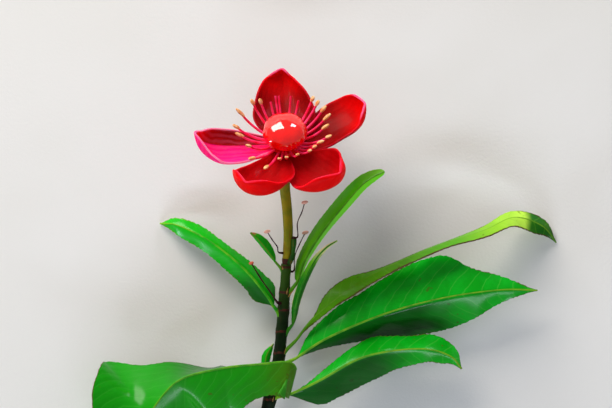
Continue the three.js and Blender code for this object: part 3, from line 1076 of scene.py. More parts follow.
def modify(piece: Piece, kind: str, **settings: object) -> None:
    """Adds a modifier of a kind with these settings and applies it.

    Args:
        piece: The piece.
        kind: The modifier's type.
        settings: Its settings.
    """
    only(piece)
    bpy.ops.object.modifier_add(type=kind)
    modifier = piece.modifiers[-1]
    for name, value in settings.items():
        setattr(modifier, name, value)
    bpy.ops.object.modifier_apply(modifier=modifier.name)


def roughen(piece: Piece, size: float, height: float, detail: int, **settings: object) -> None:
    """Presses soft clouds into a piece's skin.

    Args:
        piece: The piece.
        size: The clouds' size in millimetres.
        height: How far the skin moves from its lowest to its highest.
        detail: How many times the clouds carry finer ones.
        settings: Further settings of the modifier.
    """
    clouds = bpy.data.textures.new(f"{piece.name}_relief", "CLOUDS")
    clouds.noise_scale = size
    clouds.noise_depth = detail
    modify(piece, "DISPLACE", texture=clouds, texture_coords="LOCAL", strength=height, **settings)


def settle(piece: Piece, slot: Slot, *nodes: str, about: Matrix = ABOUT_STEM) -> None:
    """Brings a piece from millimetres to its place in metres, and hangs it on the body.

    Args:
        piece: The finished piece.
        slot: The material slot of its finish, which is not used.
        nodes: The solids it stands for.
        about: Where its own axes stand about the stem.
    """
    piece.matrix_world = Matrix.Scale(MM, 4) @ Matrix.Translation(SHIFT) @ about @ piece.matrix_world
    fix(piece)
    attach(piece, "root")
    if nodes:
        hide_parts(*nodes)
    LOG.info("%s: %d faces", piece.name, len(piece.data.polygons))


@dataclass(frozen=True)
class Oval:
    """A plain outline: the share of the length where it is widest, and how blunt its two ends are."""

    widest: float
    base: float
    tip: float


@dataclass(frozen=True)
class Half:
    """One half of a blade: its width, its tilt and further curl in degrees, and its outline.

    Tilt and curl are rows from foot to tip. An outline that isn't a plain oval is a row of shares of the
    width.
    """

    width: float
    tilt: tuple[float, ...]
    curl: tuple[float, ...]
    shape: Oval | tuple[float, ...]


# One row across a blade: for a share across, from -1 at the right margin to 1 at the left, it gives the
# place, the signed distance from the midrib and the distance to the margin
Row = Callable[[float], tuple[Vector, float, float]]


@dataclass
class Blade:
    """Two arched halves along a midrib, as a sheet that is then given its thickness."""

    name: str
    spine: tuple[Point, ...]
    left: Half
    right: Half
    start: float = 0.0
    facing: Point = (0.0, 0.0, 1.0)
    thickness: float = 0.45
    thin: float = 0.55
    row_length: float = 0.25
    least_rows: int = 24
    columns: int = 20
    tooth_pitch: float = 1.1
    tooth_fall: float = 0.2
    tooth_wander: float = 0.25
    tooth_wander_pace: float = 1.7
    tooth_sharpness: int = 10
    tooth: float = 0.2
    ripple: float = 0.22
    ripple_length: float = 7.0
    ripple_width: float = 3.0
    foot_fade: float = 12.0
    tip_fade: float = 14.0
    least_width: float = 0.1
    foot_width: float = 0.0
    phase: float = 0.0

    def outline(self, u: float, half: Half) -> float:
        """Gives a half's width, from midrib to margin without teeth, at the share u of the length.

        Args:
            u: The share of the length.
            half: The half.

        Returns:
            The width from midrib to margin, without teeth.
        """
        s = max(0.0, (u - self.start) / (1 - self.start))
        shape = half.shape
        if isinstance(shape, tuple):
            share = max(0.0, through(shape, s))
        elif s < shape.widest:
            share = math.sin(math.pi / 2 * s / shape.widest) ** shape.base
        else:
            share = max(0.0, math.cos(math.pi / 2 * (s - shape.widest) / (1 - shape.widest))) ** shape.tip
        return math.hypot(self.least_width + self.foot_width * (1 - u) ** 2, half.width * share)

    def frame(self, line: Path, u: float) -> tuple[Vector, Vector]:
        """Gives the directions across the blade and out of its face at the share u of the length.

        Args:
            line: The midrib.
            u: The share of the length.

        Returns:
            The direction across the blade and the one out of its face.
        """
        tangent = line.tangent(u)
        side = Vector(self.facing).cross(tangent).normalized()
        return side, tangent.cross(side)

    def row(self, line: Path, u: float) -> Row:
        """Sets up the row of the sheet at the share u of the midrib's length.

        Args:
            line: The midrib.
            u: The share of the length.

        Returns:
            The row.
        """
        side, face = self.frame(line, u)
        centre = line.point(u)
        far = u * line.length
        fade = max(0.0, min(1.0, (u - self.start) * self.foot_fade, (1 - u) * self.tip_fade))
        wander = self.tooth_wander * math.sin(self.tooth_wander_pace * far)
        saw = (far / self.tooth_pitch + wander) % 1.0
        rise, fall = 1 - self.tooth_fall, self.tooth_fall
        tooth = self.tooth * fade * (saw / rise if saw < rise else (1 - saw) / fall)
        wave = self.ripple * fade * math.sin(2 * math.pi * far / self.ripple_length + self.phase)

        def at(v: float) -> tuple[Vector, float, float]:
            """Gives the place and its two distances at the share v across.

            Args:
                v: The share across.

            Returns:
                The place, the distance across and the one to the margin.
            """
            half, sign = (self.left, 1) if v >= 0 else (self.right, -1)
            share = abs(v)
            width = self.outline(u, half)
            bend = math.radians(through(half.curl, u)) * share / 2
            chord = math.radians(through(half.tilt, u)) + bend
            arc = width * share + tooth * share**self.tooth_sharpness
            reach = arc * (math.sin(bend) / bend if abs(bend) > 1e-6 else 1.0)
            lift = reach * math.sin(chord) + wave * share**2 * min(1.0, width / self.ripple_width)
            place = centre + side * (sign * reach * math.cos(chord)) + face * lift
            return place, sign * width * share, width * (1 - share)

        return at

    def sheet(self, line: Path) -> Piece:
        """Adds a grid and carries each of its rows to its place.

        Args:
            line: The midrib.

        Returns:
            The sheet, with its maps in shares and in millimetres and its distance to the margin.
        """
        count = max(self.least_rows, int(line.length * (1 - self.start) / self.row_length))
        grid = bpy.ops.mesh.primitive_grid_add
        made = new_piece(self.name, grid, x_subdivisions=count, y_subdivisions=self.columns, size=1.0)
        mesh = made.data
        shares = [self.start + (1 - self.start) * i / count for i in range(count + 1)]
        rows = [self.row(line, u) for u in shares]
        share: list[tuple[float, float]] = []
        span: list[tuple[float, float]] = []
        margins: list[float] = []
        weights: list[float] = []
        for corner in mesh.vertices:
            i = round((corner.co.x + 0.5) * count)
            u = shares[i]
            v = 2 * corner.co.y
            corner.co, across, margin = rows[i](v)
            share.append((u, (v + 1) / 2))
            span.append((u * line.length, across))
            margins.append(margin)
            thinness = min(1.0, abs(v) ** 1.5 + 0.6 * u**6)
            weights.append(1 - (1 - self.thin) * thinness)
        mesh.attributes.new("edge", "FLOAT", "POINT").data.foreach_set("value", margins)
        for label, places in (("share", share), ("span", span)):
            flat = [part for loop in mesh.loops for part in places[loop.vertex_index]]
            mesh.uv_layers.new(name=label).data.foreach_set("uv", flat)
        thick = made.vertex_groups.new(name="thick")
        for corner, weight in enumerate(weights):
            thick.add([corner], weight, "REPLACE")
        return made

    def thicken(self, made: Piece) -> None:
        """Gives the sheet its thickness, with the underside and the margin in slots of their own.

        Args:
            made: The sheet.
        """
        modify(
            made,
            "SOLIDIFY",
            thickness=self.thickness,
            offset=0.0,
            vertex_group="thick",
            material_offset=1,
            material_offset_rim=2,
        )


@dataclass(kw_only=True)
class Leaf(Blade):
    """A leaf: its blade, and the stalk that leaves the stem and runs on as the midrib's ridge."""

    along: float
    outward: Point
    dress: LeafDress
    foot_radius: float = 0.55
    stalk_radius: float = 0.26
    tip_radius: float = 0.06
    ridge: float = 0.02
    ridge_end: float = 0.985
    ridge_step: float = 0.9
    least_ridge_steps: int = 14
    ridge_sides: int = 10
    stalk_length: float = 1.2
    stalk_steps: int = 8
    # How far below its height on the stem the stalk starts, at which share of the stem's radius
    root_below: float = 0.8
    root_share: float = 0.6
    bark_gap: float = 0.2

    def build(self) -> None:
        """Builds the leaf on the stem and settles it."""
        centre, radius = STEM_LIMB.passing(self.along)
        outward = Vector(self.outward).normalized()
        line = Path([centre + outward * (radius + FOOT_GAP), *self.spine])
        sheet = self.sheet(line)
        finishes = self.dress
        dress(sheet, finishes.face, finishes.under, finishes.margin, finishes.rib)
        self.thicken(sheet)
        sunk = STEM_LIMB.passing(self.along - self.root_below)[0] + outward * radius * self.root_share
        rib = self.rib(line, (sunk, centre + outward * (radius + self.bark_gap)))
        leaf = joined(self.name, [sheet, rib])
        smooth(leaf, 50)
        settle(leaf, finishes.slot, self.name)

    def rib(self, line: Path, bark: tuple[Vector, Vector]) -> Piece:
        """Grows the stalk out of the bark, and the ridge on under the blade.

        Args:
            line: The midrib.
            bark: A point under the bark where the stalk starts, and one just over the bark.

        Returns:
            The stalk and ridge.
        """
        root = max(self.start, self.stalk_length / line.length)
        stalk = Path((*bark, line.point(root), line.point(root + 0.05)))
        rings = []
        for i in range(self.stalk_steps):
            # The stalk's line has three stretches, and the ridge takes over at the start of the last
            t = 2 / 3 * i / self.stalk_steps
            radius = self.stalk_radius + (self.foot_radius - self.stalk_radius) * (1 - t) ** 2
            rings.append(Ring(stalk.at(t), stalk.heading(t, 0.01), radius))
        steps = max(self.least_ridge_steps, int(line.length / self.ridge_step))
        for i in range(steps + 1):
            share = i / steps
            u = root + (self.ridge_end - root) * share
            _, face = self.frame(line, u)
            radius = self.tip_radius + (self.stalk_radius - self.tip_radius) * (1 - share) ** 0.8
            sink = (self.thickness / 2 + self.ridge - radius) * min(1.0, 6 * share)
            rings.append(Ring(line.point(u) + face * sink, line.tangent(u), radius))
        rib = grow(f"{self.name}_rib", rings, self.ridge_sides)
        dress(rib, self.dress.rib)
        return rib


LEAVES: tuple[Leaf, ...] = (
    Leaf(
        "leaf_right_broad",
        spine=(
            (-5.7, -18.0, 5.0), (0.2, -14.1, 6.5), (10.5, -9.7, 7.8), (20.8, -6.9, 8.0), (31.0, -5.5, 6.8),
            (37.8, -5.6, 5.0),
        ),
        left=Half(
            7.7, (-26, -12, -12), (-6,),
            (0, 0.29, 0.47, 0.6, 0.66, 0.78, 0.9, 0.97, 0.95, 0.58, 0.37, 0.16, 0),
        ),
        right=Half(
            7.6, (-50, -36, -24), (-10,),
            (0, 0.21, 0.41, 0.59, 0.75, 0.87, 0.95, 0.95, 0.88, 0.7, 0.41, 0.19, 0),
        ),
        start=0.04,
        along=-19.0,
        outward=(0.8, 0.15, 0.5),
        dress=GROWN,
    ),
    Leaf(
        "leaf_right_lower",
        spine=(
            (-6.4, -24.2, 4.8), (-1.2, -21.7, 6.6), (5.5, -17.9, 8.1), (11.2, -16.4, 8.9),
            (17.7, -16.0, 8.7), (22.1, -17.3, 7.6), (24.2, -19.6, 6.4),
        ),
        left=Half(
            4.4, (-30, -42, -40), (-10,),
            (0, 0.07, 0.3, 0.47, 0.69, 0.93, 0.82, 0.71, 0.82, 0.6, 0),
        ),
        right=Half(
            6.2, (-30, -38, -20), (-12,),
            (0, 0.79, 0.91, 1.01, 1.03, 0.93, 0.71, 0.57, 0.41, 0.3, 0),
        ),
        start=0.05,
        along=-25.0,
        outward=(0.8, 0.15, 0.5),
        dress=GROWN,
    ),
    Leaf(
        "leaf_right_long",
        spine=(
            (-5.2, -14.4, 5.0), (-1.6, -10.0, 7.0), (6.2, -4.1, 8.0), (14.1, -0.1, 8.8), (20.8, 2.6, 8.4),
            (28.3, 5.0, 6.9), (33.7, 7.3, 4.5), (38.7, 5.9, 2.3), (41.4, 2.9, 0.26),
        ),
        left=Half(
            2.8, (-35, -20, -66, -76, -60, -40), (0,),
            (0, 0, 0.69, 0.82, 0.4, 0.28, 0.32, 0.36, 0.6, 0.7, 0.71, 0.6, 0),
        ),
        right=Half(
            2.8, (24, 20, 48, 66, 64, 40, -5), (-4, -4, -6),
            (0, 0.24, 0.32, 0.54, 0.6, 0.65, 0.71, 0.6, 0.7, 0.65, 0.73, 0.61, 0),
        ),
        start=0.04,
        tooth=0.12,
        ripple=0.1,
        columns=16,
        along=-16.6,
        outward=(0.9, 0.2, 0.3),
        dress=DROOPING,
    ),
    Leaf(
        "leaf_upper_long",
        spine=(
            (-4.9, -3.4, 6.1), (-3.7, 0.0, 6.7), (-0.8, 4.6, 7.6), (2.9, 9.2, 8.5), (6.1, 12.9, 9.1),
            (8.2, 14.5, 9.2), (10.4, 15.6, 9.0),
        ),
        left=Half(2.4, (-40, -38, -30), (-16,), Oval(0.55, 0.35, 0.4)),
        right=Half(2.2, (-72, -74, -60), (6,), Oval(0.55, 0.35, 0.4)),
        start=0.06,
        tooth=0.1,
        ripple=0.1,
        columns=16,
        along=-5.8,
        outward=(0.9, 0.1, 0.25),
        dress=TENDER,
        stalk_radius=0.28,
    ),
    Leaf(
        "leaf_upper_thin",
        spine=(
            (-5.7, -10.6, 5.9), (-5.2, -7.6, 7.0), (-3.9, -3.9, 8.2), (-1.9, -0.1, 9.1), (0.1, 2.1, 9.4),
            (2.0, 3.3, 9.3),
        ),
        left=Half(1.1, (-40, -45, -40), (-8,), Oval(0.35, 0.6, 0.9)),
        right=Half(1.1, (-50, -58, -50), (-6,), Oval(0.35, 0.6, 0.9)),
        start=0.05,
        tooth=0.08,
        ripple=0.05,
        columns=12,
        along=-12.9,
        outward=(0.85, 0.1, 0.4),
        dress=THIN,
        stalk_radius=0.22,
    ),
    Leaf(
        "leaf_left",
        spine=(
            (-9.9, -7.6, 5.6), (-13.3, -3.2, 5.8), (-17.2, 0.5, 5.4), (-21.7, 3.7, 4.3), (-26.6, 6.0, 2.5),
            (-29.8, 6.3, 0.24),
        ),
        left=Half(
            2.8, (-34, -28, -14), (-10,),
            (0, 0.97, 0.96, 0.98, 0.98, 0.9, 0.82, 0.76, 0.68, 0.45, 0),
        ),
        right=Half(
            2.3, (-40, -40, -20), (-14,),
            (0, 1.28, 1.2, 1.04, 0.87, 0.74, 0.74, 0.8, 0.72, 0.5, 0),
        ),
        start=0.02,
        ripple=0.08,
        columns=16,
        along=-9.3,
        outward=(-0.9, 0.05, 0.3),
        dress=FRESH,
    ),
    Leaf(
        "leaf_front_left",
        spine=(
            (-6.6, -19.8, 5.8), (-5.4, -19.6, 8.2), (-6.7, -18.3, 10.3), (-11.5, -18.6, 11.7),
            (-18.5, -19.3, 12.4), (-26.4, -21.6, 12.2), (-31.8, -27.8, 10.6), (-35.4, -31.6, 7.8),
            (-37.2, -38.4, 3.6),
        ),
        facing=(0.6, 0.0, 0.8),
        left=Half(
            10.6, (14, -6, 4, 2), (-10, -20, -16),
            (0.5, 0.61, 0.54, 0.69, 1.08, 1.25, 1.3, 1.24, 1.1, 0.89, 0.63, 0.33, 0),
        ),
        right=Half(
            13.2, (-84, -90, -98, -98, -80, -18, -5), (0, 0, 6, 8, 0),
            (0, 0.07, 0.26, 0.53, 0.73, 0.79, 0.62, 0.73, 1.02, 0.85, 0.33, 0.15, 0),
        ),
        start=0.07,
        tooth=0.16,
        ripple=0.15,
        along=-20.2,
        outward=(0.85, 0.0, 0.5),
        dress=FRONT,
    ),
    Leaf(
        "leaf_small_left",
        spine=((-9.2, -0.3, 6.4), (-10.7, 1.8, 6.7), (-12.2, 3.6, 6.8), (-13.5, 4.7, 6.7)),
        left=Half(0.7, (-50, -60, -50), (0,), Oval(0.5, 0.7, 0.8)),
        right=Half(1.3, (-20, -28, -20), (-10,), Oval(0.5, 0.7, 0.8)),
        start=0.14,
        tooth=0.06,
        ripple=0.03,
        columns=12,
        row_length=0.15,
        along=-1.7,
        outward=(-0.9, 0.1, 0.2),
        dress=SMALL,
        foot_radius=0.36,
        stalk_radius=0.2,
    ),
    Leaf(
        "leaf_bud",
        spine=((-10.9, -19.2, 3.3), (-10.6, -17.3, 3.4), (-9.4, -15.2, 3.6)),
        left=Half(0.8, (-20,), (-10,), Oval(0.4, 0.7, 1.0)),
        right=Half(0.8, (-20,), (-10,), Oval(0.4, 0.7, 1.0)),
        start=0.14,
        tooth=0.05,
        ripple=0.02,
        columns=12,
        row_length=0.15,
        along=-20.9,
        outward=(-0.9, 0.1, -0.1),
        dress=SMALL,
        foot_radius=0.36,
        stalk_radius=0.2,
    ),
)


@dataclass
class Stem:
    """The green stem: ridged bark, swollen nodes with cork scars, stipules, and the square cut."""

    sides: int = 36
    steps: int = 150
    ridge: float = 0.035
    swelling: float = 0.13
    swelling_reach: float = 0.8
    groove: float = 0.05
    groove_reach: float = 0.14
    scar_half_width: float = 0.2
    relief: float = 0.14
    relief_size: float = 0.9
    smooth_end: float = 0.7
    # How far the wood begins inside the cut's edge, and the pith inside the wood's
    bark_width: float = 0.16
    wood_width: float = 0.55
    nodes: tuple[float, ...] = (-25.2, -20.6, -19.2, -16.8, -13.0, -9.2, -5.9, -1.5)
    # Height, azimuth, length and lean outwards of each dry stipule
    stipules: tuple[tuple[float, float, float, float], ...] = (
        (-25.6, 60.0, 1.3, 0.6), (-20.9, 150.0, 1.5, 0.4), (-17.0, 35.0, 1.2, 0.5), (-13.2, 20.0, 1.2, 0.4),
        (-9.4, 170.0, 0.9, 1.2), (-7.9, 175.0, 0.9, 1.6), (-6.7, 40.0, 2.1, 1.1), (-6.3, 65.0, 1.5, 0.5),
        (-1.9, 130.0, 1.0, 0.5),
    )
    stipule_line: tuple[Point, ...] = ((0, 0, 0), (0.12, 0, 0.4), (0.2, 0, 1.0))
    stipule_radius: float = 0.17

    def build(self) -> None:
        """Builds the stem and its stipules."""
        self.trunk()
        self.spikes()

    def at_nodes(self, height: float, reach: float) -> float:
        """Adds up the bells of a reach round the nodes at a height."""
        return sum(math.exp(-(((height - n) / reach) ** 2)) for n in self.nodes)

    def bark(self, u: float) -> float:
        """Gives the bark's radius at the share u of the length, swollen and grooved at the nodes.

        Args:
            u: The share of the length.

        Returns:
            The radius.
        """
        height = STEM_LIMB.point(u).y
        swell = self.swelling * min(1.0, self.at_nodes(height, self.swelling_reach))
        return STEM_LIMB.radius(u) * (1 + swell - self.groove * self.at_nodes(height, self.groove_reach))

    def trunk(self) -> None:
        """Extrudes the bark, opens the cut end and settles the stem."""
        stem = grow("stem", rings_of(STEM_LIMB, self.steps, self.bark), self.sides, self.ridge)
        dress(stem, GREEN_BARK, SCAR_CORK, FRESH_WOOD, PITH)
        patch(stem, lambda middle: any(abs(middle.y - n) < self.scar_half_width for n in self.nodes))
        self.cut(stem)
        skin = stem.vertex_groups.new(name="bark")
        end = STEM_AXIS[0][1] + self.smooth_end
        skin.add([corner.index for corner in stem.data.vertices if corner.co.y > end], 1.0, "ADD")
        roughen(stem, self.relief_size, self.relief, 3, vertex_group="bark")
        smooth(stem, 60)
        settle(stem, Slot.STEM, "stem")

    def cut(self, stem: Piece) -> None:
        """Insets the cut end twice, for the wood and the pith in the third and fourth materials.

        Args:
            stem: The stem.
        """
        end = min(stem.data.polygons, key=lambda face: (face.center - STEM_LIMB.point(0.0)).length)
        pick(stem, lambda co: False)
        end.select = True
        with editing(stem):
            bpy.ops.mesh.select_mode(type="FACE")
            for slot, width in ((2, self.bark_width), (3, self.wood_width)):
                bpy.ops.mesh.inset(thickness=width)
                stem.active_material_index = slot
                bpy.ops.object.material_slot_assign()
            bpy.ops.mesh.select_mode(type="VERT")

    def spikes(self) -> None:
        """Models one dry stipule, sets its copies at the nodes and settles them."""
        rings = rings_of(Path(self.stipule_line), 6, lambda u: self.stipule_radius * (1.02 - u) ** 0.7)
        model = grow("stipule", rings, 6)
        dress(model, STIPULE_SKIN)
        smooth(model)
        copies = []
        for height, azimuth, length, lean in self.stipules:
            centre, radius = STEM_LIMB.passing(height)
            angle = math.radians(azimuth)
            outward = Vector((math.cos(angle), 0.0, math.sin(angle)))
            spike = copy_of(model, f"stipule_{len(copies)}")
            spike.matrix_world = (
                Matrix.Translation(centre + outward * radius * 0.95)
                @ turned_to(outward * lean + Vector((0.0, 1.0, 0.1)), "X")
                @ Matrix.Diagonal((1.0, 1.0, length, 1.0))
            )
            fix(spike)
            copies.append(spike)
        bpy.data.objects.remove(model)
        settle(joined("stipules", copies), Slot.STEM)


@dataclass
class FlowerStalk:
    """The olive stalk of the flower, its joint on the stem, and the green stub beside it."""

    sides: int = 28
    steps: int = 60
    ridge: float = 0.03
    sunk: Point = (-7.12, -1.3, 5.95)
    joint_height: float = 1.1
    joint_reach: float = 0.3
    joint_swelling: float = 0.1
    joint_cork: float = 0.5
    relief: float = 0.07
    relief_size: float = 1.4
    stub: tuple[Point, ...] = ((-6.6, -0.9, 6.7), (-6.0, 0.6, 6.95), (-5.75, 2.4, 7.15), (-5.7, 3.9, 7.3))
    stub_radius: float = 0.42
    stub_swelling: float = 0.06
    stub_cork: float = 0.25

    def build(self) -> None:
        """Builds and settles the stalk and the stub."""
        line = Limb((self.sunk, *STALK_AXIS), (STALK_RADII[0], *STALK_RADII))

        def radius(u: float) -> float:
            """Gives the stalk's radius, with the joint's ring."""
            away = (u * line.length - self.joint_height) / self.joint_reach
            return line.radius(u) + self.joint_swelling * math.exp(-(away**2))

        stalk = grow("flower_stalk", rings_of(line, self.steps, radius), self.sides, self.ridge)
        dress(stalk, OLIVE_STALK, SCAR_CORK)
        patch(stalk, lambda middle: middle.y < STALK_AXIS[0][1] + self.joint_cork)
        roughen(stalk, self.relief_size, self.relief, 2)
        smooth(stalk, 60)
        settle(stalk, Slot.FLOWER_STALK, "flower_stalk")

        def thickness(u: float) -> float:
            """Gives the stub's radius."""
            return self.stub_radius + self.stub_swelling * math.sin(3 * math.pi * u)

        stub = grow("stalk_stub", rings_of(Path(self.stub), 16, thickness), 12)
        dress(stub, GREEN_STUB, SCAR_CORK)
        patch(stub, lambda middle: middle.y > self.stub[-1][1] - self.stub_cork)
        smooth(stub, 50)
        settle(stub, Slot.FLOWER_STALK)


@dataclass
class Receptacle:
    """The swollen middle of the flower: a neck under a dome with five shallow lobes, on a flat seat."""

    foot_radius: float = 1.5
    foot_bottom: float = -0.8
    seat_radius: float = 2.3
    seat_heights: tuple[float, ...] = (-0.4, 0.0, 0.5)
    foot_heights: tuple[float, ...] = (1.0, 2.2)
    neck: float = 2.9
    dome_radius: float = 4.0
    dome_middle: float = 4.7
    dome_top: float = 7.4
    lower_steps: int = 8
    upper_steps: int = 13
    lobes: int = 5
    first_groove: float = 0.35
    groove: float = 0.95
    groove_half_angle: float = 0.1
    groove_reach: float = 1.1
    plain_top: float = 0.8

    def profile(self) -> list[tuple[float, float]]:
        """Gives the radius and height of each level, from the foot to the top.

        Returns:
            The levels.
        """
        edge = self.foot_radius
        levels = [(edge, self.foot_bottom)]
        levels += [(self.seat_radius, height) for height in self.seat_heights]
        levels += [(edge, height) for height in self.foot_heights]
        for i in range(1, self.lower_steps):
            angle = math.pi / 2 * i / self.lower_steps
            radius = edge + (self.dome_radius - edge) * math.sin(angle) ** 0.8
            levels.append((radius, self.neck + (self.dome_middle - self.neck) * (1 - math.cos(angle))))
        for i in range(self.upper_steps):
            angle = math.pi / 2 * i / self.upper_steps
            height = self.dome_middle + (self.dome_top - self.dome_middle) * math.sin(angle)
            levels.append((self.dome_radius * math.cos(angle), height))
        return levels

    def build(self) -> None:
        """Extrudes the dome level by level, presses in the grooves and settles it."""
        rings = [Ring(Vector((0.0, 0.0, height)), UP, radius) for radius, height in self.profile()]
        dome = grow("receptacle", rings, 40)
        for i in range(self.lobes):
            azimuth = 2 * math.pi * (i + self.first_groove) / self.lobes
            self.press(dome, Vector((math.cos(azimuth), math.sin(azimuth))))
        modify(dome, "SUBSURF", levels=1, render_levels=1)
        dress(dome, DOME_SKIN)
        smooth(dome, 80)
        settle(dome, Slot.RECEPTACLE, "receptacle", about=ABOUT_FLOWER)

    def press(self, dome: Piece, way: Vector) -> None:
        """Presses one groove into the dome.

        Args:
            dome: The dome.
            way: The direction of the groove from above.
        """

        def in_groove(co: Vector) -> bool:
            """Tells whether a corner of the dome is in the groove."""
            beside = co.z > self.neck and co.xy.length > self.plain_top
            return beside and co.xy.angle(way) < self.groove_half_angle

        pick(dome, in_groove)
        with editing(dome):
            bpy.ops.transform.resize(
                value=(self.groove, self.groove, 1.0),
                center_override=(0.0, 0.0, self.dome_middle),
                use_proportional_edit=True,
                proportional_edit_falloff="SMOOTH",
                proportional_size=self.groove_reach,
            )


# A full cup's curl in degrees from foot to tip, and how much longer than its chord its arc is
CUP = (10, 64, 72)
ARC_EXCESS = 0.047


def lobe(width: float, cup: float, *oval: float) -> Half:
    """Gives one half of a sepal, an arc, by its width, its share of the full cup and its outline."""
    return Half(width * (1 + ARC_EXCESS * cup**2), (0,), tuple(curl * cup for curl in CUP), Oval(*oval))


@dataclass
class Sepal:
    """One cupped, fleshy sepal."""

    name: str
    azimuth: float
    reach: float
    rise: float
    lift: float
    bowl: float
    left: Half
    right: Half
    finish: SepalFinish = SEPAL_SKIN
    foot: float = 1.9
    keel_points: int = 6

    def keel(self, share: float) -> Point:
        """Gives a point of the keel.

        Args:
            share: The share of its arc, from 0 at the foot to 1 at the tip.

        Returns:
            The point.
        """
        angle = share * math.pi / 2
        radius = self.foot + (self.reach - self.foot) * math.sin(angle)
        height = self.lift * (1 - share) + self.rise * (1 - math.cos(angle)) ** self.bowl
        return radius, 0.0, height

    def build(self) -> None:
        """Builds the sepal about the flower's foot and settles it."""
        spine = tuple(self.keel(i / (self.keel_points - 1)) for i in range(self.keel_points))
        blade = Blade(
            self.name,
            spine,
            self.left,
            self.right,
            facing=(-0.7, 0.0, 0.7),
            thickness=0.55,
            thin=0.7,
            row_length=0.45,
            columns=22,
            tooth=0.0,
            ripple=0.06,
            ripple_length=6.0,
            foot_width=1.3,
            phase=self.azimuth,
        )
        sepal = blade.sheet(Path(spine))
        blade.thicken(sepal)
        dress(sepal, self.finish, SEPAL_BACK_GLOW, self.finish)
        modify(sepal, "SUBSURF", levels=1, render_levels=1)
        sepal.rotation_euler.z = math.radians(self.azimuth)
        smooth(sepal, 80)
        settle(sepal, Slot.SEPAL, self.name, about=ABOUT_FLOWER)


SEPALS: tuple[Sepal, ...] = (
    Sepal(
        "sepal_right", 24.3, 15.5, 5.4, 0.05, 1.5,
        lobe(5.3, 0.4, 0.58, 0.8, 0.3), lobe(5.2, 1, 0.64, 0.6, 0.28),
    ),
    Sepal(
        "sepal_top", 92, 14.8, 5, 0.85, 1.2,
        lobe(5.7, 0.75, 0.33, 0.52, 0.38), lobe(5.9, 1, 0.33, 0.35, 0.72),
    ),
    Sepal(
        "sepal_left", 188.7, 16, 7.4, 0.75, 1.6,
        lobe(5.8, 0.85, 0.65, 1.3, 0.62), lobe(4.4, 0.85, 0.56, 0.4, 0.8), SHEEN_SEPAL_SKIN,
    ),
    Sepal(
        "sepal_lower_left", 244, 15.2, 7.3, 0.9, 1.8,
        lobe(6.8, 1.05, 0.6, 0.58, 0.38), lobe(5.2, 0.95, 0.72, 0.9, 0.32), PLAIN_SEPAL_SKIN,
    ),
    Sepal(
        "sepal_lower_right", 309.8, 14.9, 7.1, 0.05, 1.8,
        lobe(6.2, 1.3, 0.46, 0.8, 0.28), lobe(7.1, 0.75, 0.68, 0.82, 0.34), PLAIN_SEPAL_SKIN,
    ),
)


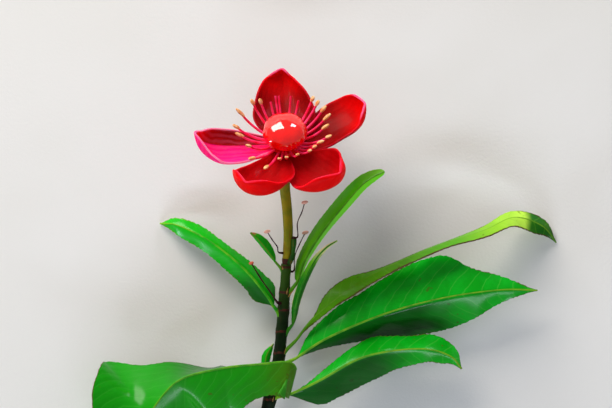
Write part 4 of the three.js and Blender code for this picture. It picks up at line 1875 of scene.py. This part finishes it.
@dataclass
class Stamens:
    """The ring of stamens: red threads that rise from a collar to dry, tan anthers."""

    collar_inner: float = 1.8
    collar_outer: float = 2.9
    collar_low: float = 1.75
    collar_high: float = 2.3
    thread_foot: Point = (2.4, 0.0, 2.03)
    thread_line: tuple[Point, ...] = ((0, 0, 0), (2.0, 0, 0.45), (3.7, 0, 1.65), (4.8, 0, 3.0))
    thread_end: Point = (2.2, 0.0, 1.9)
    thread_radius: float = 0.22
    anther_radius: float = 0.36
    anther_flatness: float = 0.8
    # Azimuth in degrees, reach and height of each anther's middle, and its length
    anthers: tuple[tuple[float, float, float, float], ...] = (
        (7.6, 7.2, 5.0, 1.8), (22.4, 8.0, 5.2, 1.9), (35.0, 8.3, 5.4, 1.6), (47.0, 8.4, 5.4, 1.3),
        (55.0, 8.5, 5.6, 1.2), (125.6, 7.4, 6.0, 1.2), (133.5, 8.3, 5.8, 1.3), (154.6, 8.7, 5.6, 2.3),
        (174.8, 8.6, 5.2, 1.6), (186.6, 8.0, 5.0, 2.0), (208.0, 7.2, 4.9, 1.5), (226.3, 8.3, 4.6, 2.0),
        (248.2, 8.7, 4.6, 2.2), (262.0, 6.6, 5.1, 1.3), (273.1, 6.3, 5.2, 1.5), (291.6, 6.1, 5.2, 1.3),
        (312.5, 6.5, 5.2, 1.2), (325.0, 6.4, 5.0, 1.2), (337.3, 6.8, 5.0, 1.8), (350.9, 7.8, 4.9, 1.4),
    )
    # Azimuth, reach and height of the threads that have lost theirs
    bare: tuple[tuple[float, float, float], ...] = (
        (70.0, 7.0, 5.6), (81.8, 7.4, 6.0), (98.5, 7.4, 6.0), (103.0, 7.5, 6.0), (112.0, 6.8, 5.6),
    )

    def build(self) -> None:
        """Builds the collar with its threads, and the anthers, and settles both."""
        thread_model = self.thread()
        anther_model = self.anther()
        threads, anthers = [], []
        foot = Vector(self.thread_foot)
        outwards, _, up = self.thread_line[-1]
        for azimuth, reach, height, length in (*self.anthers, *((*tip, 0.0) for tip in self.bare)):
            around = Matrix.Rotation(math.radians(azimuth), 4, "Z")
            stretch = Matrix.Diagonal(((reach - foot.x) / outwards, 1.0, (height - foot.z) / up, 1.0))
            thread = copy_of(thread_model, f"thread_{len(threads)}")
            thread.matrix_world = around @ Matrix.Translation(foot) @ stretch
            threads.append(thread)
            if length:
                anther = copy_of(anther_model, f"anther_{len(anthers)}")
                end = (stretch @ Vector((*self.thread_end, 0.0))).xyz
                stand = Matrix.Translation((reach, 0.0, height)) @ turned_to(end)
                anther.matrix_world = around @ stand @ Matrix.Diagonal((1.0, 1.0, length, 1.0))
                anthers.append(anther)
        for each in (*threads, *anthers):
            fix(each)
        for model in (thread_model, anther_model):
            bpy.data.objects.remove(model)
        stamens = joined("stamens", [self.collar(), *threads])
        settle(stamens, Slot.STAMENS, "stamens", about=ABOUT_FLOWER)
        settle(joined("anthers", anthers), Slot.STAMENS, about=ABOUT_FLOWER)

    def thread(self) -> Piece:
        """Models one thread from its foot, outwards and up.

        Returns:
            The thread, with its foot in the origin.
        """
        rings = rings_of(Path(self.thread_line), 10, lambda u: self.thread_radius * (1.15 - 0.3 * u))
        made = grow("thread", rings, 6)
        dress(made, FILAMENT)
        smooth(made, 80)
        return made

    def anther(self) -> Piece:
        """Models one anther, a millimetre long, with the furrow between its two halves.

        Returns:
            The anther, with its middle in the origin.
        """
        size = (self.anther_radius, self.anther_radius * self.anther_flatness, 0.5)
        furrow = (0.05, 1.0, 0.4)
        made = pinched("anther", size, furrow, (1.0, 0.55, 1.0), segments=10, ring_count=7)
        dress(made, ANTHER)
        smooth(made, 80)
        return made

    def collar(self) -> Piece:
        """Spins the collar's section round the receptacle.

        Returns:
            The collar.
        """
        radius = (self.collar_inner + self.collar_outer) / 2
        made = new_piece(
            "collar",
            bpy.ops.mesh.primitive_circle_add,
            vertices=8,
            radius=0.5,
            location=(radius, 0.0, (self.collar_low + self.collar_high) / 2),
            rotation=(math.pi / 2, 0.0, 0.0),
        )
        made.scale = (self.collar_outer - self.collar_inner, self.collar_high - self.collar_low, 1.0)
        fix(made)
        with editing(made, whole=True):
            bpy.ops.mesh.spin(steps=36, angle=2 * math.pi, center=(0.0, 0.0, 0.0), axis=UP)
            bpy.ops.mesh.select_all(action="SELECT")
            bpy.ops.mesh.remove_doubles(threshold=0.01)
            bpy.ops.mesh.normals_make_consistent(inside=False)
        dress(made, COLLAR_SKIN)
        smooth(made, 60)
        return made


class Carrier(Enum):
    """What a spent thread hangs on."""

    STEM = STEM_LIMB
    STALK = STALK_LIMB


@dataclass
class SpentThread:
    """A spent stamen that hangs on below the flower: a dark thread with a pale knob."""

    name: str
    carrier: Carrier
    along: float
    outward: Point
    path: tuple[Point, ...]
    radius: float = 0.15
    knob_half_length: float = 0.62
    knob_radius: float = 0.32
    knob_way: Point = (1.0, 0.25, 0.0)
    knob_skin: Finish = SPENT_KNOB

    def taper(self, u: float) -> float:
        """Gives the thread's radius, thick at its foot and a little uneven."""
        return self.radius * (1.5 - 0.8 * min(1.0, 4 * u) + 0.1 * math.sin(20 * u))

    def build(self) -> None:
        """Builds the thread with its knob and settles it."""
        centre, radius = self.carrier.value.passing(self.along)
        outward = Vector(self.outward).normalized()
        line = Path([centre + outward * (radius - 0.1), centre + outward * (radius + FOOT_GAP), *self.path])
        thread = grow(self.name, rings_of(line, 22, self.taper), 8)
        dress(thread, SPENT_SKIN)
        whole = joined(self.name, [thread, self.knob(line.point(1.0))])
        smooth(whole, 80)
        settle(whole, Slot.SPENT_THREAD, self.name)

    def knob(self, end: Vector) -> Piece:
        """Models the knob across the thread's end.

        Args:
            end: The thread's end.

        Returns:
            The knob.
        """
        size = (self.knob_radius, self.knob_radius, self.knob_half_length)
        made = pinched("knob", size, (1.0, 1.0, 0.1), (0.86, 0.86, 1.0), segments=12, ring_count=9)
        made.matrix_world = Matrix.Translation(end) @ turned_to(Vector(self.knob_way))
        fix(made)
        dress(made, self.knob_skin)
        return made


SPENT_THREADS: tuple[SpentThread, ...] = (
    SpentThread(
        "spent_thread_left", Carrier.STEM, -8.1, (-0.6, 0.2, 0.75),
        ((-9.9, -5.9, 7.7), (-11.6, -3.5, 8.3), (-13.3, -0.7, 8.5)),
        radius=0.2,
        knob_half_length=0.45,
        knob_skin=RED_KNOB,
    ),
    SpentThread(
        "spent_thread_right", Carrier.STALK, 3.8, (0.95, 0.1, 0.3),
        ((-5.1, 6.4, 7.4), (-4.3, 8.4, 7.7), (-3.8, 10.1, 7.9)),
    ),
    SpentThread(
        "spent_thread_low_right", Carrier.STEM, -2.4, (0.8, 0.2, -0.5),
        ((-5.6, 0.4, 4.9), (-4.7, 2.7, 4.6), (-3.7, 4.7, 4.4)),
    ),
    SpentThread(
        "spent_thread_low_left", Carrier.STALK, 0.9, (-0.9, 0.2, 0.35),
        ((-8.7, 2.2, 7.1), (-9.7, 3.6, 7.4), (-10.5, 4.9, 7.5)),
    ),
)


@dataclass(frozen=True)
class Softbox:
    """A rectangular soft light that faces the shoot, with lengths in metres and its power in watts."""

    name: str
    way: Point
    distance: float
    size: tuple[float, float]
    power: float
    colour: str

    def hang(self, middle: Vector) -> None:
        """Hangs the light.

        Args:
            middle: The middle of the shoot.
        """
        lamp = bpy.data.lights.new(self.name, "AREA")
        lamp.shape = "RECTANGLE"
        lamp.size, lamp.size_y = self.size
        lamp.energy = self.power
        lamp.color = linear(self.colour)[:3]
        stand = bpy.data.objects.new(self.name, lamp)
        bpy.context.scene.collection.objects.link(stand)
        towards = Vector(self.way).normalized()
        stand.location = middle + towards * self.distance
        stand.rotation_euler = towards.to_track_quat("Z", "Y").to_euler()


@dataclass
class Studio:
    """The plain pale floor, soft lights and the camera of the photograph."""

    middle: Point = (-3.5825, 11.973, 6.0)
    distance: float = 800.0
    pixels_across: float = 612.0
    pixels_per_mm: float = 5.6
    sensor: float = 36.0
    sky: float = 0.3
    lights: tuple[Softbox, ...] = (
        Softbox("key_softbox", (-0.44, 0.82, 0.4), 0.6, (0.4, 0.34), 5.0, "#fff8ee"),
        Softbox("back_strip", (0.42, 0.85, 0.32), 0.55, (0.14, 0.14), 0.8, "#f6eeff"),
        Softbox("front_strip", (0.0, -0.9, 0.42), 0.6, (0.6, 0.05), 1.8, "#e4f0ff"),
        Softbox("side_strip", (-0.82, -0.5, 0.23), 0.6, (0.1, 0.1), 0.9, "#dce8ff"),
    )

    def build(self) -> None:
        """Lays the floor, hangs lights and camera, and sets the sky."""
        floor = new_piece(
            "floor", bpy.ops.mesh.primitive_grid_add, x_subdivisions=4, y_subdivisions=4, size=3.0
        )
        dress(floor, PAPER)
        for light in self.lights:
            light.hang(Vector(self.middle) * MM)
        world = bpy.data.worlds.new("pale_sky")
        world.use_nodes = True
        background = world.node_tree.nodes["Background"]
        background.inputs["Color"].default_value = linear("#eef2f6")
        background.inputs["Strength"].default_value = self.sky
        bpy.context.scene.world = world
        bpy.context.scene.view_settings.view_transform = "Standard"
        self.camera()

    def camera(self) -> None:
        """Hangs the camera straight above, at the photograph's scale."""
        lens = bpy.data.cameras.new("camera")
        lens.sensor_width = self.sensor
        lens.lens = self.sensor * self.distance / (self.pixels_across / self.pixels_per_mm)
        lens.clip_start = 0.05
        camera = bpy.data.objects.new("camera", lens)
        bpy.context.scene.collection.objects.link(camera)
        x, y, z = self.middle
        camera.location = Vector((x, y, z + self.distance)) * MM
        bpy.context.scene.camera = camera


def main() -> None:
    """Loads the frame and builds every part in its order."""
    logging.basicConfig(level=logging.INFO, format="%(message)s", stream=sys.stdout)
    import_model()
    flower = (FlowerStalk(), Receptacle(), Stamens(), *SEPALS)
    for part in (Stem(), *flower, *LEAVES, *SPENT_THREADS, Studio()):
        part.build()


if __name__ == "__main__":
    main()
